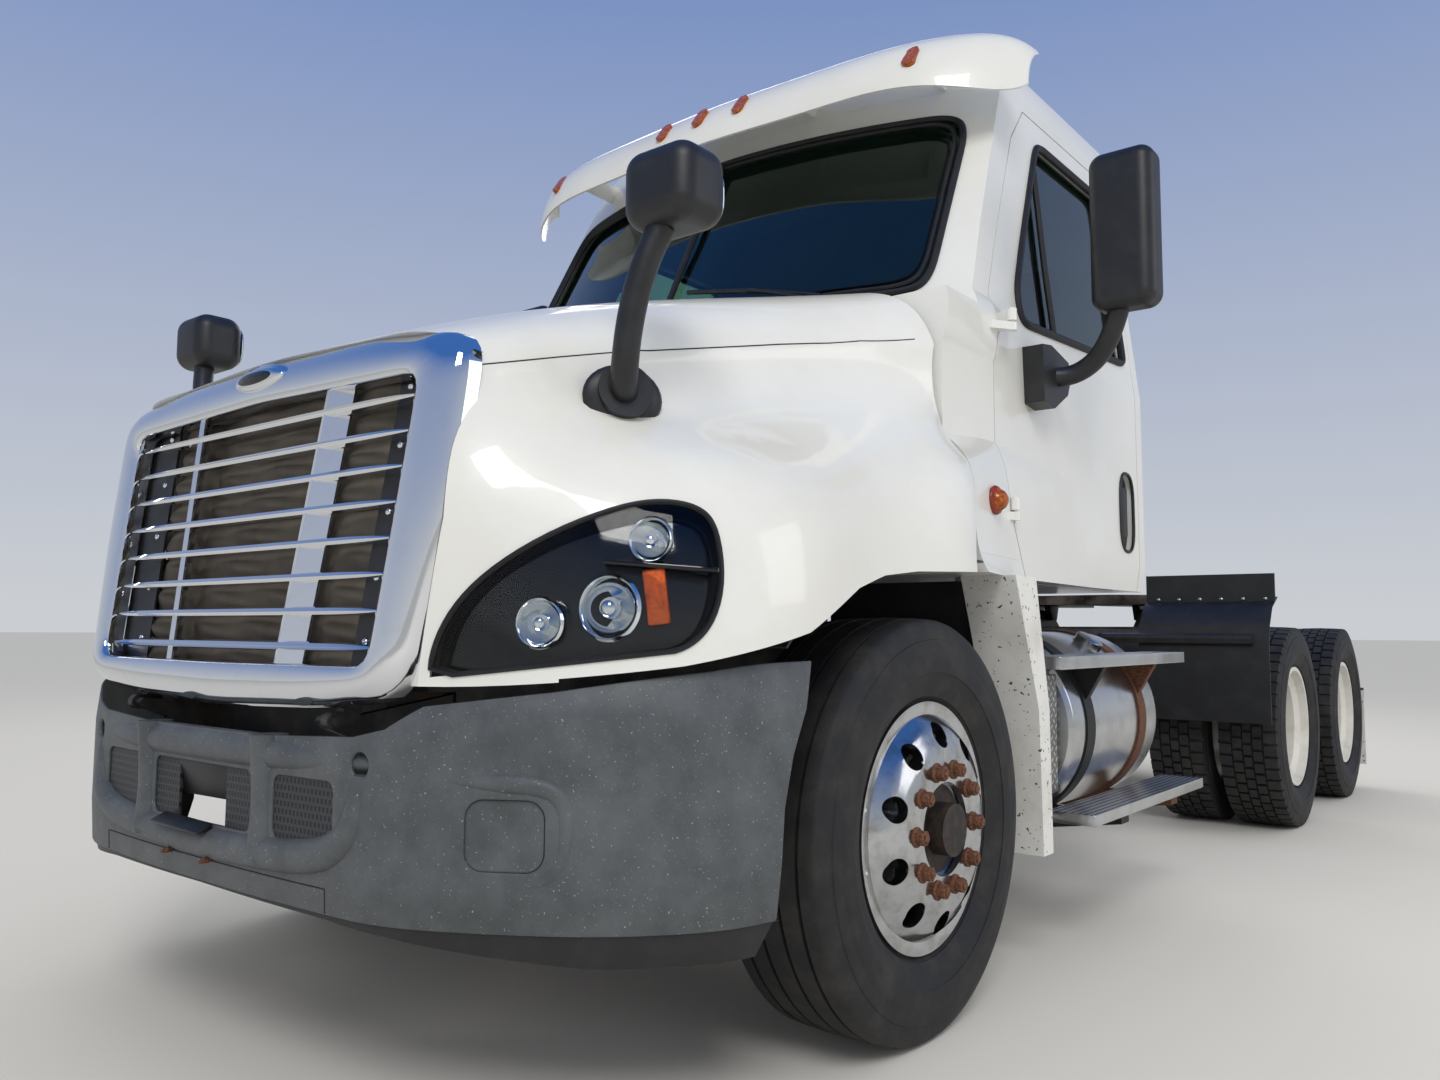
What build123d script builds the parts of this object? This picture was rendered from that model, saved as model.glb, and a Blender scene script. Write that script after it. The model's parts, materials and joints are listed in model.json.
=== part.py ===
from build123d import *
import os
from math import atan2, cos, pi, radians, sin

# A three-axle road tractor with a day cab and a tilting hood. Sizes are in millimetres.
# X is the vehicle's left, Y runs to the rear and Z is up from the ground.
# Pieces are modelled with Y measured from the front axle, and all move to mid-length at the end.
FRONT_END_Y = -1215
FRAME_END_Y = 5850
DRIVE_AXLE_1_Y = 3830
TANDEM_SPREAD = 1321
DRIVE_AXLES_Y = (DRIVE_AXLE_1_Y, DRIVE_AXLE_1_Y + TANDEM_SPREAD)
TANDEM_CENTRE_Y = DRIVE_AXLE_1_Y + TANDEM_SPREAD / 2
TO_MID_LENGTH = Pos(0, -(FRONT_END_Y + FRAME_END_Y) / 2, 0)

# Running gap between a fixed and a moving curved face, and the seat gap between pieces of one body.
RUN_GAP = 0.4
SEAT_GAP = 0.3

# Tyres and wheels.
TYRE_RADIUS = 503
TYRE_WIDTH = 298
RIM_SEAT_RADIUS = 286
RIM_FLANGE_RADIUS = 299
RIM_HALF_WIDTH = 118
RIM_WALL = 12
DISC_OFFSET = 168
DISC_THICKNESS = 23
PILOT_RADIUS = 110
HAND_HOLES = 10
HAND_HOLE_RADIUS = 30
HAND_HOLE_CIRCLE = 221
STEER_WHEEL_X = 1035
DUAL_OUTER_X = 1080
DUAL_SPACING = 2 * DISC_OFFSET + SEAT_GAP
DRUM_RADIUS = 228
DRUM_DEPTH = 185
HUB_RADIUS = 104
SPINDLE_RADIUS = 46

# Front axle and steering.
KINGPIN_X = 870
KINGPIN_RADIUS = 24
KINGPIN_EYE_RADIUS = 50
EYE_HEIGHT = 140
EAR_THICKNESS = 32
EAR_GAP = 6
# The arms lie straight behind the kingpins, so that the tie rod stays square to the truck at every angle.
STEER_ARM = (0, 190, -88)
TIE_ROD_RADIUS = 22
TIE_PIN_RADIUS = 11

# Drive axles and shafts.
AXLE_TUBE_RADIUS = 72
BOWL_RADIUS = 205
NOSE_LENGTH = 300
NOSE_RISE = 30
SHAFT_RADIUS = 50
ENGINE_REAR_Y = 790
GEARBOX_Z = 770
GEARBOX_LENGTH = 760

# Frame.
RAIL_HALF_WIDTH = 431
RAIL_TOP = 990
RAIL_DEPTH = 267
RAIL_FLANGE = 89
RAIL_WALL = 8
RAIL_FRONT_Y = -850
SPRING_X = 380

# Brackets that carry the hood's pivot and the bumper.
BRACKET_X = 401
BRACKET_THICKNESS = 24
BUMPER_ARM_Z = (560, 700)
HOOD_PIN_RADIUS = 10

# Cab.
CAB_FRONT_Y = 285
CAB_REAR_Y = 1960
CAB_FLOOR_Z = 1130
CAB_WALL = 55
ROOF_SEAM_Z = 2790
SCREEN_BASE_Z = 1930
SCREEN_TOP_Z = 3100
SCREEN_SLOPE = 0.5417
SCREEN_CENTRE_Y = 239
SCREEN_EDGE_Y = 440
SCREEN_EDGE_X = 960
PANEL_GAP = 6
DOOR_FRONT_Y = 620
DOOR_REAR_Y = 1892
DOOR_TOP_Z = 2760
DOOR_BOTTOM_Z = 1130
DOOR_PIVOT = (1112, 632)
HINGES_Z = (1300, 1870)
HINGE_PIN_RADIUS = 7
HINGE_EYE_RADIUS = 15
# Plan outlines of the hinge arms, measured from the pivot.
CAB_HINGE_ARM = [(-72, -72), (-72, -32), (-7, 8), (10, -7), (-32, -72)]
DOOR_HINGE_ARM = [(-72, 23), (-72, 68), (-32, 68), (12, 8), (-7, -10)]
# Middle y and z, width, height and corner radius of the handle's recess, and the x of its floor.
HANDLE_POCKET = (1763, 1425, 150, 300, 70, 1030)
GLASS = 6
GLASS_INSET = 20

# Half outline of the cab seen from behind, (x, z), from the sill to the middle of the roof.
CAB_OUTLINE = [(1046, 1130), (1060, 1230), (1057, 1890), (1018, 2222), (958, 2850), (938, 2915), (892, 2952),
               (560, 2990), (0, 3006)]

# Lower front corner of the cab, which carries the fender's bulge on into the door, and the bump below the screen's
# corner. Each station is y, then (x, z) points from the top down.
FLARE_STATIONS = [
    (285, [(1000, 1580), (1050, 1520), (1110, 1470), (1140, 1417), (1155, 1250), (1190, 1130)]),
    (620, [(1000, 1640), (1052, 1550), (1083, 1480), (1100, 1390), (1107, 1250), (1110, 1130)]),
    (1500, [(1000, 1640), (1040, 1550), (1050, 1480), (1056, 1390), (1050, 1250), (1040, 1130)]),
]
BUMP_STATIONS = [
    (285, [(990, 2020), (1045, 1985), (1074, 1930), (1076, 1830), (1050, 1765), (1000, 1740)]),
    (620, [(990, 2020), (1042, 1985), (1068, 1930), (1070, 1830), (1050, 1765), (1000, 1740)]),
    (820, [(980, 2010), (1020, 1985), (1040, 1930), (1045, 1830), (1040, 1765), (1000, 1740)]),
]

# Hood. Each station is y, then (x, z) points of the left half from the middle of the top to the lower edge.
# The fourth point lies on the crease between the top and the side.
HOOD_WALL = 12
HOOD_CREASE = 3
HOOD_STATIONS = [
    (-1135, [(0, 1585), (450, 1570), (680, 1520), (720, 1465), (722, 1330), (716, 1220), (706, 1100), (694, 960),
             (684, 862)]),
    (-1040, [(0, 1625), (470, 1608), (700, 1545), (730, 1495), (770, 1345), (815, 1240), (850, 1120), (862, 980),
             (862, 868)]),
    (-800, [(0, 1722), (480, 1700), (735, 1612), (768, 1558), (858, 1400), (985, 1318), (1090, 1210), (1142, 1060),
            (1146, 900)]),
    (-400, [(0, 1848), (500, 1822), (785, 1724), (830, 1655), (915, 1485), (1040, 1395), (1150, 1285), (1192, 1160),
            (1198, 900)]),
    (0, [(0, 1938), (520, 1915), (850, 1830), (912, 1730), (985, 1560), (1072, 1470), (1150, 1375), (1190, 1250),
         (1200, 900)]),
    (272, [(0, 1972), (560, 1958), (945, 1905), (1042, 1765), (1055, 1560), (1082, 1500), (1138, 1430), (1160, 1250),
           (1194, 1100)]),
]
HOOD_PIVOT = (-1165, 785)

# Wheel arch of the fender, (y, z), and the lower edge of the hood ahead of it.
ARCH_OUTLINE = [(-1000, 700), (-1000, 880), (-850, 905), (-583, 969), (-495, 1011), (-377, 1065), (-249, 1098),
                (-100, 1114), (240, 1127), (400, 1127), (400, 700)]

# Grille surround, half outlines as (x, z), on a face that leans back.
GRILLE_LEAN = 7.4
GRILLE_FOOT = (-1205, 830)
SURROUND_OUTER = [(0, 796), (420, 808), (676, 838), (730, 1190), (744, 1562), (420, 1596), (0, 1608)]
SURROUND_INNER = [(0, 896), (596, 899), (612, 1171), (630, 1484), (0, 1500)]
SURROUND_DEPTH = 60
SURROUND_CROWN = 42
OUTER_CORNER_RADIUS = 80
INNER_CORNER_RADIUS = 36
HOOD_FLANGE = 25
BAR_COUNT = 8
BAR_FIRST_Z = 934
BAR_PITCH = 72.7
BAR_HEIGHT = 16
BAR_DEPTH = 42
STRAP_WIDTH = 85
STRAP_FOOT_X = 275
STRAP_HEAD_X = 329

# Headlamp outline on the front corner, as distance along the corner line and height.
LAMP_ORIGIN = (720, -1142)
LAMP_ANGLE = 38.5
LAMP_OUTLINE = [(0, 880), (468, 933), (512, 958), (548, 1140), (526, 1192), (446, 1219), (330, 1196), (213, 1144),
                (138, 1098), (62, 1031), (16, 957)]

# Bumper, half plan outline as (x, y), how far it is drawn in at heights (z, inset), the edge along its top as
# (x, z), and its lower edge.
BUMPER_PLAN = [(0, -1215), (250, -1212), (470, -1202), (640, -1180), (800, -1108), (980, -990), (1100, -870),
               (1170, -750), (1196, -600), (1200, -450)]
BUMPER_LEVELS = [(300, 34), (415, 6), (520, 0), (730, 0), (815, 8), (1000, 60)]
LAMP_BLANK = (858, -1058, 594)
LAMP_BLANK_SIZE = (150, 128, 34)
LAMP_BLANK_DEPTH = 5
BUMPER_TOP = [(0, 750), (290, 751), (557, 763), (636, 781), (710, 826), (923, 856), (1118, 894), (1230, 936)]
BUMPER_BOTTOM_Z = 415
BUMPER_WALL = 8
BUMPER_END = [(-478, 960), (-547, 840), (-615, 728), (-643, 620), (-660, 415), (-700, 330)]
# Lower edge of the lip as (x, z), which is hidden by the bumper in the middle.
DAM_EDGE = [(0, 409), (470, 404), (640, 394), (800, 373), (980, 353), (1230, 350)]
DAM_INSET = BUMPER_WALL + SEAT_GAP
DAM_OVERLAP = 60

# Fifth wheel.
FIFTH_WHEEL_Y = 4300
FIFTH_WHEEL_TOP = 1190
FIFTH_WHEEL_HALF_WIDTH = 480
FIFTH_WHEEL_FRONT = 400
FIFTH_WHEEL_REAR = 520
FIFTH_WHEEL_THICKNESS = 55
KINGPIN_BORE_RADIUS = 25.6
THROAT_HALF_WIDTH = 190
PLATE_PIVOT_DROP = 110
PLATE_PIN_RADIUS = 22

# Fuel tank, steps and side gear.
TANK_RADIUS = 312
TANK_CENTRE = (812, 662)
TANK_ENDS_Y = (1000, 1870)
UPPER_STEP = (1062, 1200, 735, 1950, 862, 900)
LOWER_STEP = (1100, 1250, 850, 1965, 398, 432)
TREAD_BOX_Y = (700, 960)
EXHAUST_BOX_Y = (760, 1900)


def face_of(points):
    return Face(Wire.make_polygon([Vector(*p) for p in points], close=True))


def along_x(outline, x0, x1):
    """Prism with a (y, z) outline between two x planes."""
    return Solid.extrude(face_of([(x0, y, z) for y, z in outline]), Vector(x1 - x0, 0, 0))


def along_y(outline, y0, y1):
    """Prism with an (x, z) outline between two y planes."""
    return Solid.extrude(face_of([(x, y0, z) for x, z in outline]), Vector(0, y1 - y0, 0))


def along_z(outline, z0, z1):
    """Prism with an (x, y) outline between two z planes."""
    return Solid.extrude(face_of([(x, y, z0) for x, y in outline]), Vector(0, 0, z1 - z0))


def block(x0, x1, y0, y1, z0, z1):
    return along_z([(x0, y0), (x1, y0), (x1, y1), (x0, y1)], z0, z1)


def rod_x(x0, x1, y, z, radius):
    return Solid.make_cylinder(radius, x1 - x0, Plane((x0, y, z), z_dir=(1, 0, 0)))


def rod_y(y0, y1, x, z, radius):
    return Solid.make_cylinder(radius, y1 - y0, Plane((x, y0, z), z_dir=(0, 1, 0)))


def rod_z(z0, z1, x, y, radius):
    return Solid.make_cylinder(radius, z1 - z0, Plane((x, y, z0)))


def rod_between(start, end, radius):
    direction = Vector(*end) - Vector(*start)
    return Solid.make_cylinder(radius, direction.length, Plane(start, z_dir=direction))


def turned(profile):
    """Solid of revolution about the X axis from (x, r) points."""
    return Solid.revolve(face_of([(x, r, 0) for x, r in profile]), 360, Axis.X)


def other_side(solid):
    return solid.mirror(Plane.YZ)


def both_sides(solids):
    return solids + [other_side(s) for s in solids]


def full_width(half):
    """Whole closed outline from the half on the positive side of x = 0."""
    return half + [(-x, v) for x, v in reversed(half) if x > 0]


def moved_in(points, distance):
    """Shift an open line of points to its right-hand side by a distance, with mitred corners."""
    shifted = []
    for i, (u, v) in enumerate(points):
        before = points[max(i - 1, 0)]
        after = points[min(i + 1, len(points) - 1)]
        start = atan2(v - before[1], u - before[0]) if i > 0 else atan2(after[1] - v, after[0] - u)
        end = atan2(after[1] - v, after[0] - u) if i < len(points) - 1 else start
        turn = (end - start + pi) % (2 * pi) - pi
        middle = start + turn / 2
        reach = distance / cos(turn / 2)
        shifted.append((u + reach * sin(middle), v - reach * cos(middle)))
    return shifted


def grown(outline, gap):
    """Closed outline moved outwards on all sides by a gap, or inwards by a negative one."""
    ends = zip(outline, outline[1:] + outline[:1])
    area = sum(u0 * v1 - u1 * v0 for (u0, v0), (u1, v1) in ends)
    loop = [outline[-1]] + outline + [outline[0]]
    return moved_in(loop, gap if area > 0 else -gap)[1:-1]


def smooth_line(points):
    return Edge.make_spline([Vector(*p) for p in points])


def straight_lines(points):
    return [Edge.make_line(Vector(*a), Vector(*b)) for a, b in zip(points[:-1], points[1:])]


def bowed_rod(points, radius):
    """Round rod along a smooth line through points."""
    path = smooth_line(points)
    start = Face(Wire.make_circle(radius, Plane(path @ 0, z_dir=path % 0)))
    return Solid.sweep(start, path)


def rounded(solid, direction, radius):
    """Solid with all its edges along a direction rounded."""
    edges = [e for e in solid.edges() if e.geom_type == GeomType.LINE and abs((e % 0).dot(direction)) > 0.999]
    return solid.fillet(radius, edges)


# Wheels, each about the X axis at the origin with its disc on the outer, positive side.
def tyre():
    half = TYRE_WIDTH / 2
    outer = [(RIM_HALF_WIDTH - 14, RIM_SEAT_RADIUS + SEAT_GAP), (RIM_HALF_WIDTH - 13, RIM_FLANGE_RADIUS + 6),
             (half - 8, TYRE_RADIUS - 160), (half, TYRE_RADIUS - 105), (half - 12, TYRE_RADIUS - 38),
             (half - 30, TYRE_RADIUS - 7), (half - 70, TYRE_RADIUS)]
    return turned(outer + [(-x, r) for x, r in reversed(outer)])


def rim():
    seat, flange, half = RIM_SEAT_RADIUS, RIM_FLANGE_RADIUS, RIM_HALF_WIDTH
    well = seat - 30
    outside = [(-half, flange), (-half + 10, flange), (-half + 13, seat), (-75, seat - 3), (-52, well), (40, well),
               (66, seat - 3), (half - 13, seat), (half - 10, flange), (half, flange)]
    disc_face = [(half, seat - 8), (half - 2, 268), (146, 240), (DISC_OFFSET, 192), (DISC_OFFSET, PILOT_RADIUS)]
    back = DISC_OFFSET - DISC_THICKNESS
    disc_back = [(back, PILOT_RADIUS), (back, 184), (126, 222), (88, 250), (60, well - RIM_WALL)]
    inside = [(-60, well - RIM_WALL), (-82, seat - 3 - RIM_WALL), (-half, seat - 6)]
    wheel = turned(outside + disc_face + disc_back + inside)
    for i in range(HAND_HOLES):
        turn = radians(360 / HAND_HOLES * i)
        y, z = HAND_HOLE_CIRCLE * sin(turn), HAND_HOLE_CIRCLE * cos(turn)
        wheel -= rod_x(60, DISC_OFFSET + 40, y, z, HAND_HOLE_RADIUS)
    return wheel


def hub_and_drum(hub_end, cap_radius, flat):
    """Brake drum with its hub, seated behind the disc face at x = flat."""
    mouth = flat - DRUM_DEPTH
    wall = 14
    profile = [(mouth, DRUM_RADIUS), (flat, DRUM_RADIUS - 40), (flat, PILOT_RADIUS - 6), (hub_end - 30, HUB_RADIUS),
               (hub_end - 30, cap_radius), (hub_end, cap_radius), (hub_end, 0), (hub_end - 40, 0),
               (hub_end - 40, SPINDLE_RADIUS + RUN_GAP), (mouth + 30, SPINDLE_RADIUS + RUN_GAP),
               (mouth + 30, HUB_RADIUS - 20), (flat - 20, HUB_RADIUS - 10), (flat - wall, DRUM_RADIUS - 54),
               (mouth, DRUM_RADIUS - 20)]
    return turned(profile)


def steer_wheel_place(side):
    turn = 0 if side > 0 else 180
    return Pos(side * STEER_WHEEL_X, 0, TYRE_RADIUS) * Rot(0, 0, turn)


def dual_wheel_places(side, axle_y):
    """Outer wheel with its disc facing in, and inner wheel with its disc facing out."""
    outward, inward = (0, 180) if side > 0 else (180, 0)
    outer = Pos(side * DUAL_OUTER_X, axle_y, TYRE_RADIUS) * Rot(0, 0, inward)
    inner = Pos(side * (DUAL_OUTER_X - DUAL_SPACING), axle_y, TYRE_RADIUS) * Rot(0, 0, outward)
    return outer, inner


def steer_rim(side):
    flat = DISC_OFFSET - DISC_THICKNESS - SEAT_GAP
    hub = hub_and_drum(DISC_OFFSET + 42, 62, flat)
    return [steer_wheel_place(side) * rim(), steer_wheel_place(side) * hub]


def dual_rims(side, axle_y):
    outer, inner = dual_wheel_places(side, axle_y)
    flat = DISC_OFFSET - DISC_THICKNESS - SEAT_GAP
    hub = hub_and_drum(DISC_OFFSET + 150, 84, flat)
    return [outer * rim(), inner * rim(), inner * hub]


def dual_tyres(side, axle_y):
    return [place * tyre() for place in dual_wheel_places(side, axle_y)]


# Front axle, knuckles and steering linkage.
def front_axle():
    """Forged beam, lower between the springs, with an eye and a fixed kingpin at each end."""
    z = TYRE_RADIUS
    beam = [(-KINGPIN_X, z - 45), (-660, z - 85), (-520, z - 140), (520, z - 140), (660, z - 85),
            (KINGPIN_X, z - 45), (KINGPIN_X, z + 45), (680, z + 5), (540, z - 50), (-540, z - 50), (-680, z + 5),
            (-KINGPIN_X, z + 45)]
    axle = along_y(beam, -38, 38)
    for side in (-1, 1):
        axle += rod_z(z - EYE_HEIGHT / 2, z + EYE_HEIGHT / 2, side * KINGPIN_X, 0, KINGPIN_EYE_RADIUS)
        axle += rod_z(z - EYE_HEIGHT / 2 - 34, z + EYE_HEIGHT / 2 + 34, side * KINGPIN_X, 0, KINGPIN_RADIUS)
        axle += block(side * SPRING_X - 55, side * SPRING_X + 55, -75, 75, z - 95, z - 40)
    return [axle]


def knuckle(side):
    """Two ears on the kingpin, the spindle, the brake spider and the tie rod arm."""
    z = TYRE_RADIUS
    block_x0, block_x1 = KINGPIN_X + KINGPIN_EYE_RADIUS + 8, KINGPIN_X + 100
    ear_low = EYE_HEIGHT / 2 + EAR_GAP
    body = block(block_x0, block_x1, -58, 58, z - ear_low - EAR_THICKNESS, z + ear_low + EAR_THICKNESS)
    for z0 in (z + ear_low, z - ear_low - EAR_THICKNESS):
        body += rod_z(z0, z0 + EAR_THICKNESS, KINGPIN_X, 0, KINGPIN_EYE_RADIUS)
        body += block(KINGPIN_X, block_x1, -50, 50, z0, z0 + EAR_THICKNESS)
    body -= rod_z(z - 200, z + 200, KINGPIN_X, 0, KINGPIN_RADIUS + RUN_GAP)
    body += rod_x(block_x1 - 5, block_x1 + 12, 0, z, 190)
    spindle_end = STEER_WHEEL_X + DISC_OFFSET + 42 - 50
    body += rod_x(block_x1, spindle_end, 0, z, SPINDLE_RADIUS)
    dx, dy, dz = STEER_ARM
    arm = [(block_x0 + 4, 20), (block_x1, 20), (block_x1, 62), (KINGPIN_X + dx + 26, dy + 26),
           (KINGPIN_X + dx - 26, dy + 26), (KINGPIN_X + dx - 26, dy - 26)]
    body += along_z(arm, z + dz - 12, z + dz + 12)
    body += rod_z(z + dz - 60, z + dz, KINGPIN_X + dx, dy, TIE_PIN_RADIUS)
    return [body if side > 0 else other_side(body)]


def tie_rod():
    dx, dy, dz = STEER_ARM
    z = TYRE_RADIUS + dz - 40
    reach = KINGPIN_X + dx
    rod = rod_x(-reach, reach, dy, z, TIE_ROD_RADIUS)
    for side in (-1, 1):
        rod += rod_z(z - 26, z + 22, side * reach, dy, 34)
        rod -= rod_z(z - 40, z + 40, side * reach, dy, TIE_PIN_RADIUS + RUN_GAP)
    return [rod]


# Frame and what is under it.
def frame_rails():
    top, low = RAIL_TOP, RAIL_TOP - RAIL_DEPTH
    outer, wall = RAIL_HALF_WIDTH, RAIL_WALL
    channel = [(outer, low), (outer, top), (outer - RAIL_FLANGE, top), (outer - RAIL_FLANGE, top - wall),
               (outer - wall, top - wall), (outer - wall, low + wall), (outer - RAIL_FLANGE, low + wall),
               (outer - RAIL_FLANGE, low)]
    rail = along_y(channel, RAIL_FRONT_Y, FRAME_END_Y)
    tail_cut = [(FRAME_END_Y - 260, low), (FRAME_END_Y, low + 110), (FRAME_END_Y + 1, low - 1),
                (FRAME_END_Y - 260, low - 1)]
    rail -= along_x(tail_cut, 0, outer + 10)
    return both_sides([rail])


CROSSMEMBERS_Y = (-780, 1750, 2450, 3150, TANDEM_CENTRE_Y, 5700)


def crossmembers():
    inner = RAIL_HALF_WIDTH - RAIL_WALL - SEAT_GAP
    low, high = RAIL_TOP - RAIL_DEPTH + 100, RAIL_TOP - 40
    solids = []
    for y in CROSSMEMBERS_Y:
        channel = [(y - 60, low), (y - 60, high), (y + 60, high), (y + 60, high - 8), (y - 52, high - 8),
                   (y - 52, low + 8), (y + 60, low + 8), (y + 60, low)]
        solids.append(along_x(channel, -inner, inner))
    return solids


def hood_brackets():
    """Plates from the rail ends to the hood's pivot pins and forward to the bumper, one each side."""
    y, z = HOOD_PIVOT
    back = RAIL_FRONT_Y - SEAT_GAP
    arm_low, arm_high = BUMPER_ARM_Z
    outline = [(back, z + 40), (back, arm_high), (-1000, arm_low), (-1200, arm_low), (-1200, arm_high),
               (y + 60, z - 40), (y, z - 15), (y - 13, z), (y, z + 11), (y + 60, z + 4)]
    plate = along_x(outline, BRACKET_X, BRACKET_X + BRACKET_THICKNESS) & bumper_volume(BUMPER_WALL + SEAT_GAP)
    return both_sides([plate.solid() + rod_x(BRACKET_X, BRACKET_X + 60, y, z, HOOD_PIN_RADIUS)])


def cab_mounts():
    """Blocks between the rails and the cab floor."""
    solids = []
    for y in (480, 1800):
        solids.append(block(RAIL_HALF_WIDTH - 85, RAIL_HALF_WIDTH - 5, y - 45, y + 45, RAIL_TOP + SEAT_GAP,
                            CAB_FLOOR_Z - SEAT_GAP))
    return both_sides(solids)


def leaf_springs():
    """Front leaf packs in their hangers, under the rails."""
    low = RAIL_TOP - RAIL_DEPTH
    seat = TYRE_RADIUS - 40 + SEAT_GAP
    solids = []
    pack = [(-700, seat + 118), (-660, seat + 118), (-300, seat + 30), (-75, seat), (75, seat), (300, seat + 30),
            (700, seat + 118), (740, seat + 118), (740, seat + 140), (690, seat + 140), (300, seat + 66),
            (0, seat + 52), (-300, seat + 66), (-650, seat + 140), (-700, seat + 140)]
    spring = along_x(pack, SPRING_X - 45, SPRING_X + 45)
    for y in (-700, 720):
        spring += block(SPRING_X - 40, SPRING_X + 40, y - 60, y + 50, seat + 130, low - SEAT_GAP)
    solids.append(spring)
    return both_sides(solids)


def axle_bowl(y, gap):
    r = BOWL_RADIUS + gap
    bowl = turned([(-130 - gap, 0), (-130 - gap, 120), (-60, r), (60, r), (130 + gap, 120), (130 + gap, 0)])
    return Pos(0, y, TYRE_RADIUS) * bowl


def drive_axles():
    """Two housings with their differential bowls, tubes and spindles."""
    inner_wheel_x = DUAL_OUTER_X - DUAL_SPACING
    spindle_end = inner_wheel_x + DISC_OFFSET + 150 - 48
    tube_end = inner_wheel_x + DISC_OFFSET - DISC_THICKNESS - DRUM_DEPTH + 20
    solids = []
    for y in DRIVE_AXLES_Y:
        z = TYRE_RADIUS
        housing = axle_bowl(y, 0) + rod_x(-tube_end, tube_end, y, z, AXLE_TUBE_RADIUS)
        housing += rod_x(-spindle_end, spindle_end, y, z, SPINDLE_RADIUS)
        nose = Plane((0, y - 60, z + NOSE_RISE), z_dir=(0, -1, 0))
        housing += Solid.make_cone(150, 80, NOSE_LENGTH - 60, nose)
        solids.append(housing)
    return solids


def rear_suspension():
    """Trailing arms over the axle tubes, with their hangers and air springs, one piece per wheel end."""
    low = RAIL_TOP - RAIL_DEPTH - SEAT_GAP
    seat = TYRE_RADIUS + AXLE_TUBE_RADIUS + SEAT_GAP
    solids = []
    for y in DRIVE_AXLES_Y:
        arm = [(y - 540, seat + 40), (y - 540, seat + 100), (y - 460, seat + 110), (y - 100, seat + 62),
               (y + 100, seat + 62), (y + 440, seat + 34), (y + 440, seat + 4), (y + 90, seat), (y - 90, seat),
               (y - 450, seat + 25)]
        assembly = along_x(arm, RAIL_HALF_WIDTH - 80, RAIL_HALF_WIDTH)
        assembly += block(RAIL_HALF_WIDTH - 90, RAIL_HALF_WIDTH + 4, y - 560, y - 450, seat + 20, low)
        assembly += rod_z(seat + 20, low, RAIL_HALF_WIDTH - 60, y + 330, 110)
        solids.append(assembly)
    return both_sides(solids)


def gearbox():
    """Clutch housing and gearbox behind the engine."""
    n = GEARBOX_LENGTH
    case = turned([(0, 0), (0, 230), (260, 230), (420, 150), (n - 60, 130), (n, 60), (n, 0)])
    return [Pos(0, ENGINE_REAR_Y + SEAT_GAP, GEARBOX_Z) * Rot(0, 0, 90) * case]


def drive_shafts():
    """Shaft from the gearbox to the first drive axle, and the one on to the second."""
    box_rear = ENGINE_REAR_Y + SEAT_GAP + GEARBOX_LENGTH
    nose_y = DRIVE_AXLE_1_Y - NOSE_LENGTH
    nose_z = TYRE_RADIUS + NOSE_RISE
    slope = (GEARBOX_Z - nose_z) / (nose_y - box_rear)
    end_gap = SEAT_GAP + SHAFT_RADIUS * slope
    main_shaft = rod_between((0, box_rear + end_gap, GEARBOX_Z), (0, nose_y - end_gap, nose_z), SHAFT_RADIUS)
    through_rear = DRIVE_AXLES_Y[1] - NOSE_LENGTH - SEAT_GAP
    through_shaft = rod_y(DRIVE_AXLE_1_Y + BOWL_RADIUS - 40, through_rear, 0, nose_z, SHAFT_RADIUS)
    through_shaft -= axle_bowl(DRIVE_AXLE_1_Y, SEAT_GAP)
    return [main_shaft, through_shaft]


def engine():
    """Plain mass of the six-cylinder engine at its real place, over and between the rails."""
    rear = ENGINE_REAR_Y
    profile = [(-620, 640), (rear, 640), (rear, 1060), (200, 1060), (200, 1540), (-620, 1540)]
    lug_reach = RAIL_HALF_WIDTH - RAIL_WALL - SEAT_GAP
    lugs = block(-lug_reach, lug_reach, -300, -150, RAIL_TOP - 90, RAIL_TOP - RAIL_WALL - 2)
    return [along_x(profile, -330, 330) + lugs]


def radiator():
    foot = BRACKET_X - SEAT_GAP
    core = block(-500, 500, -1010, -930, 840, 1440) + block(-foot, foot, -1010, -930, 700, 845)
    for side in (-1, 1):
        x0, x1 = sorted((side * 500, side * 560))
        core += block(x0, x1, -1020, -920, 840, 1440)
    return [core]


def fuel_tank():
    """Round tank with dished ends along the left rail."""
    x, z = TANK_CENTRE
    y0, y1 = TANK_ENDS_Y
    r = TANK_RADIUS
    length = y1 - y0
    profile = [(0, 0), (0, r - 60), (14, r - 14), (30, r), (length - 30, r), (length - 14, r - 14),
               (length, r - 60), (length, 0)]
    return [Pos(x, y0, z) * Rot(0, 0, 90) * turned(profile)]


STRAP_PLACES_Y = (1130, 1640)


def tank_straps():
    """Bands and saddles that hold the tank to the rail, with the arms that carry the steps."""
    x, z = TANK_CENTRE
    rail = RAIL_HALF_WIDTH + SEAT_GAP
    lower, upper = LOWER_STEP[4] - SEAT_GAP, UPPER_STEP[4] - SEAT_GAP
    saddle = [(rail, 960), (560, 960), (600, 400), (1000, lower), (LOWER_STEP[1] - 20, lower),
              (LOWER_STEP[1] - 20, lower - 30), (980, 330), (560, 330), (rail, 420)]
    brace = [(UPPER_STEP[0] + 4, upper), (UPPER_STEP[1] - 20, upper), (UPPER_STEP[1] - 90, 740), (1060, 660),
             (1000, 700), (1040, 800)]
    solids = []
    for y in STRAP_PLACES_Y:
        hanger = rod_y(y, y + 70, x, z, TANK_RADIUS + 6) + along_y(saddle, y, y + 70) + along_y(brace, y + 20, y + 50)
        solids.append(hanger - rod_y(y - 5, y + 80, x, z, TANK_RADIUS + SEAT_GAP))
    return solids


def steps():
    """Two tread boards each side."""
    return both_sides([block(*UPPER_STEP), block(*LOWER_STEP)])


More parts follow.
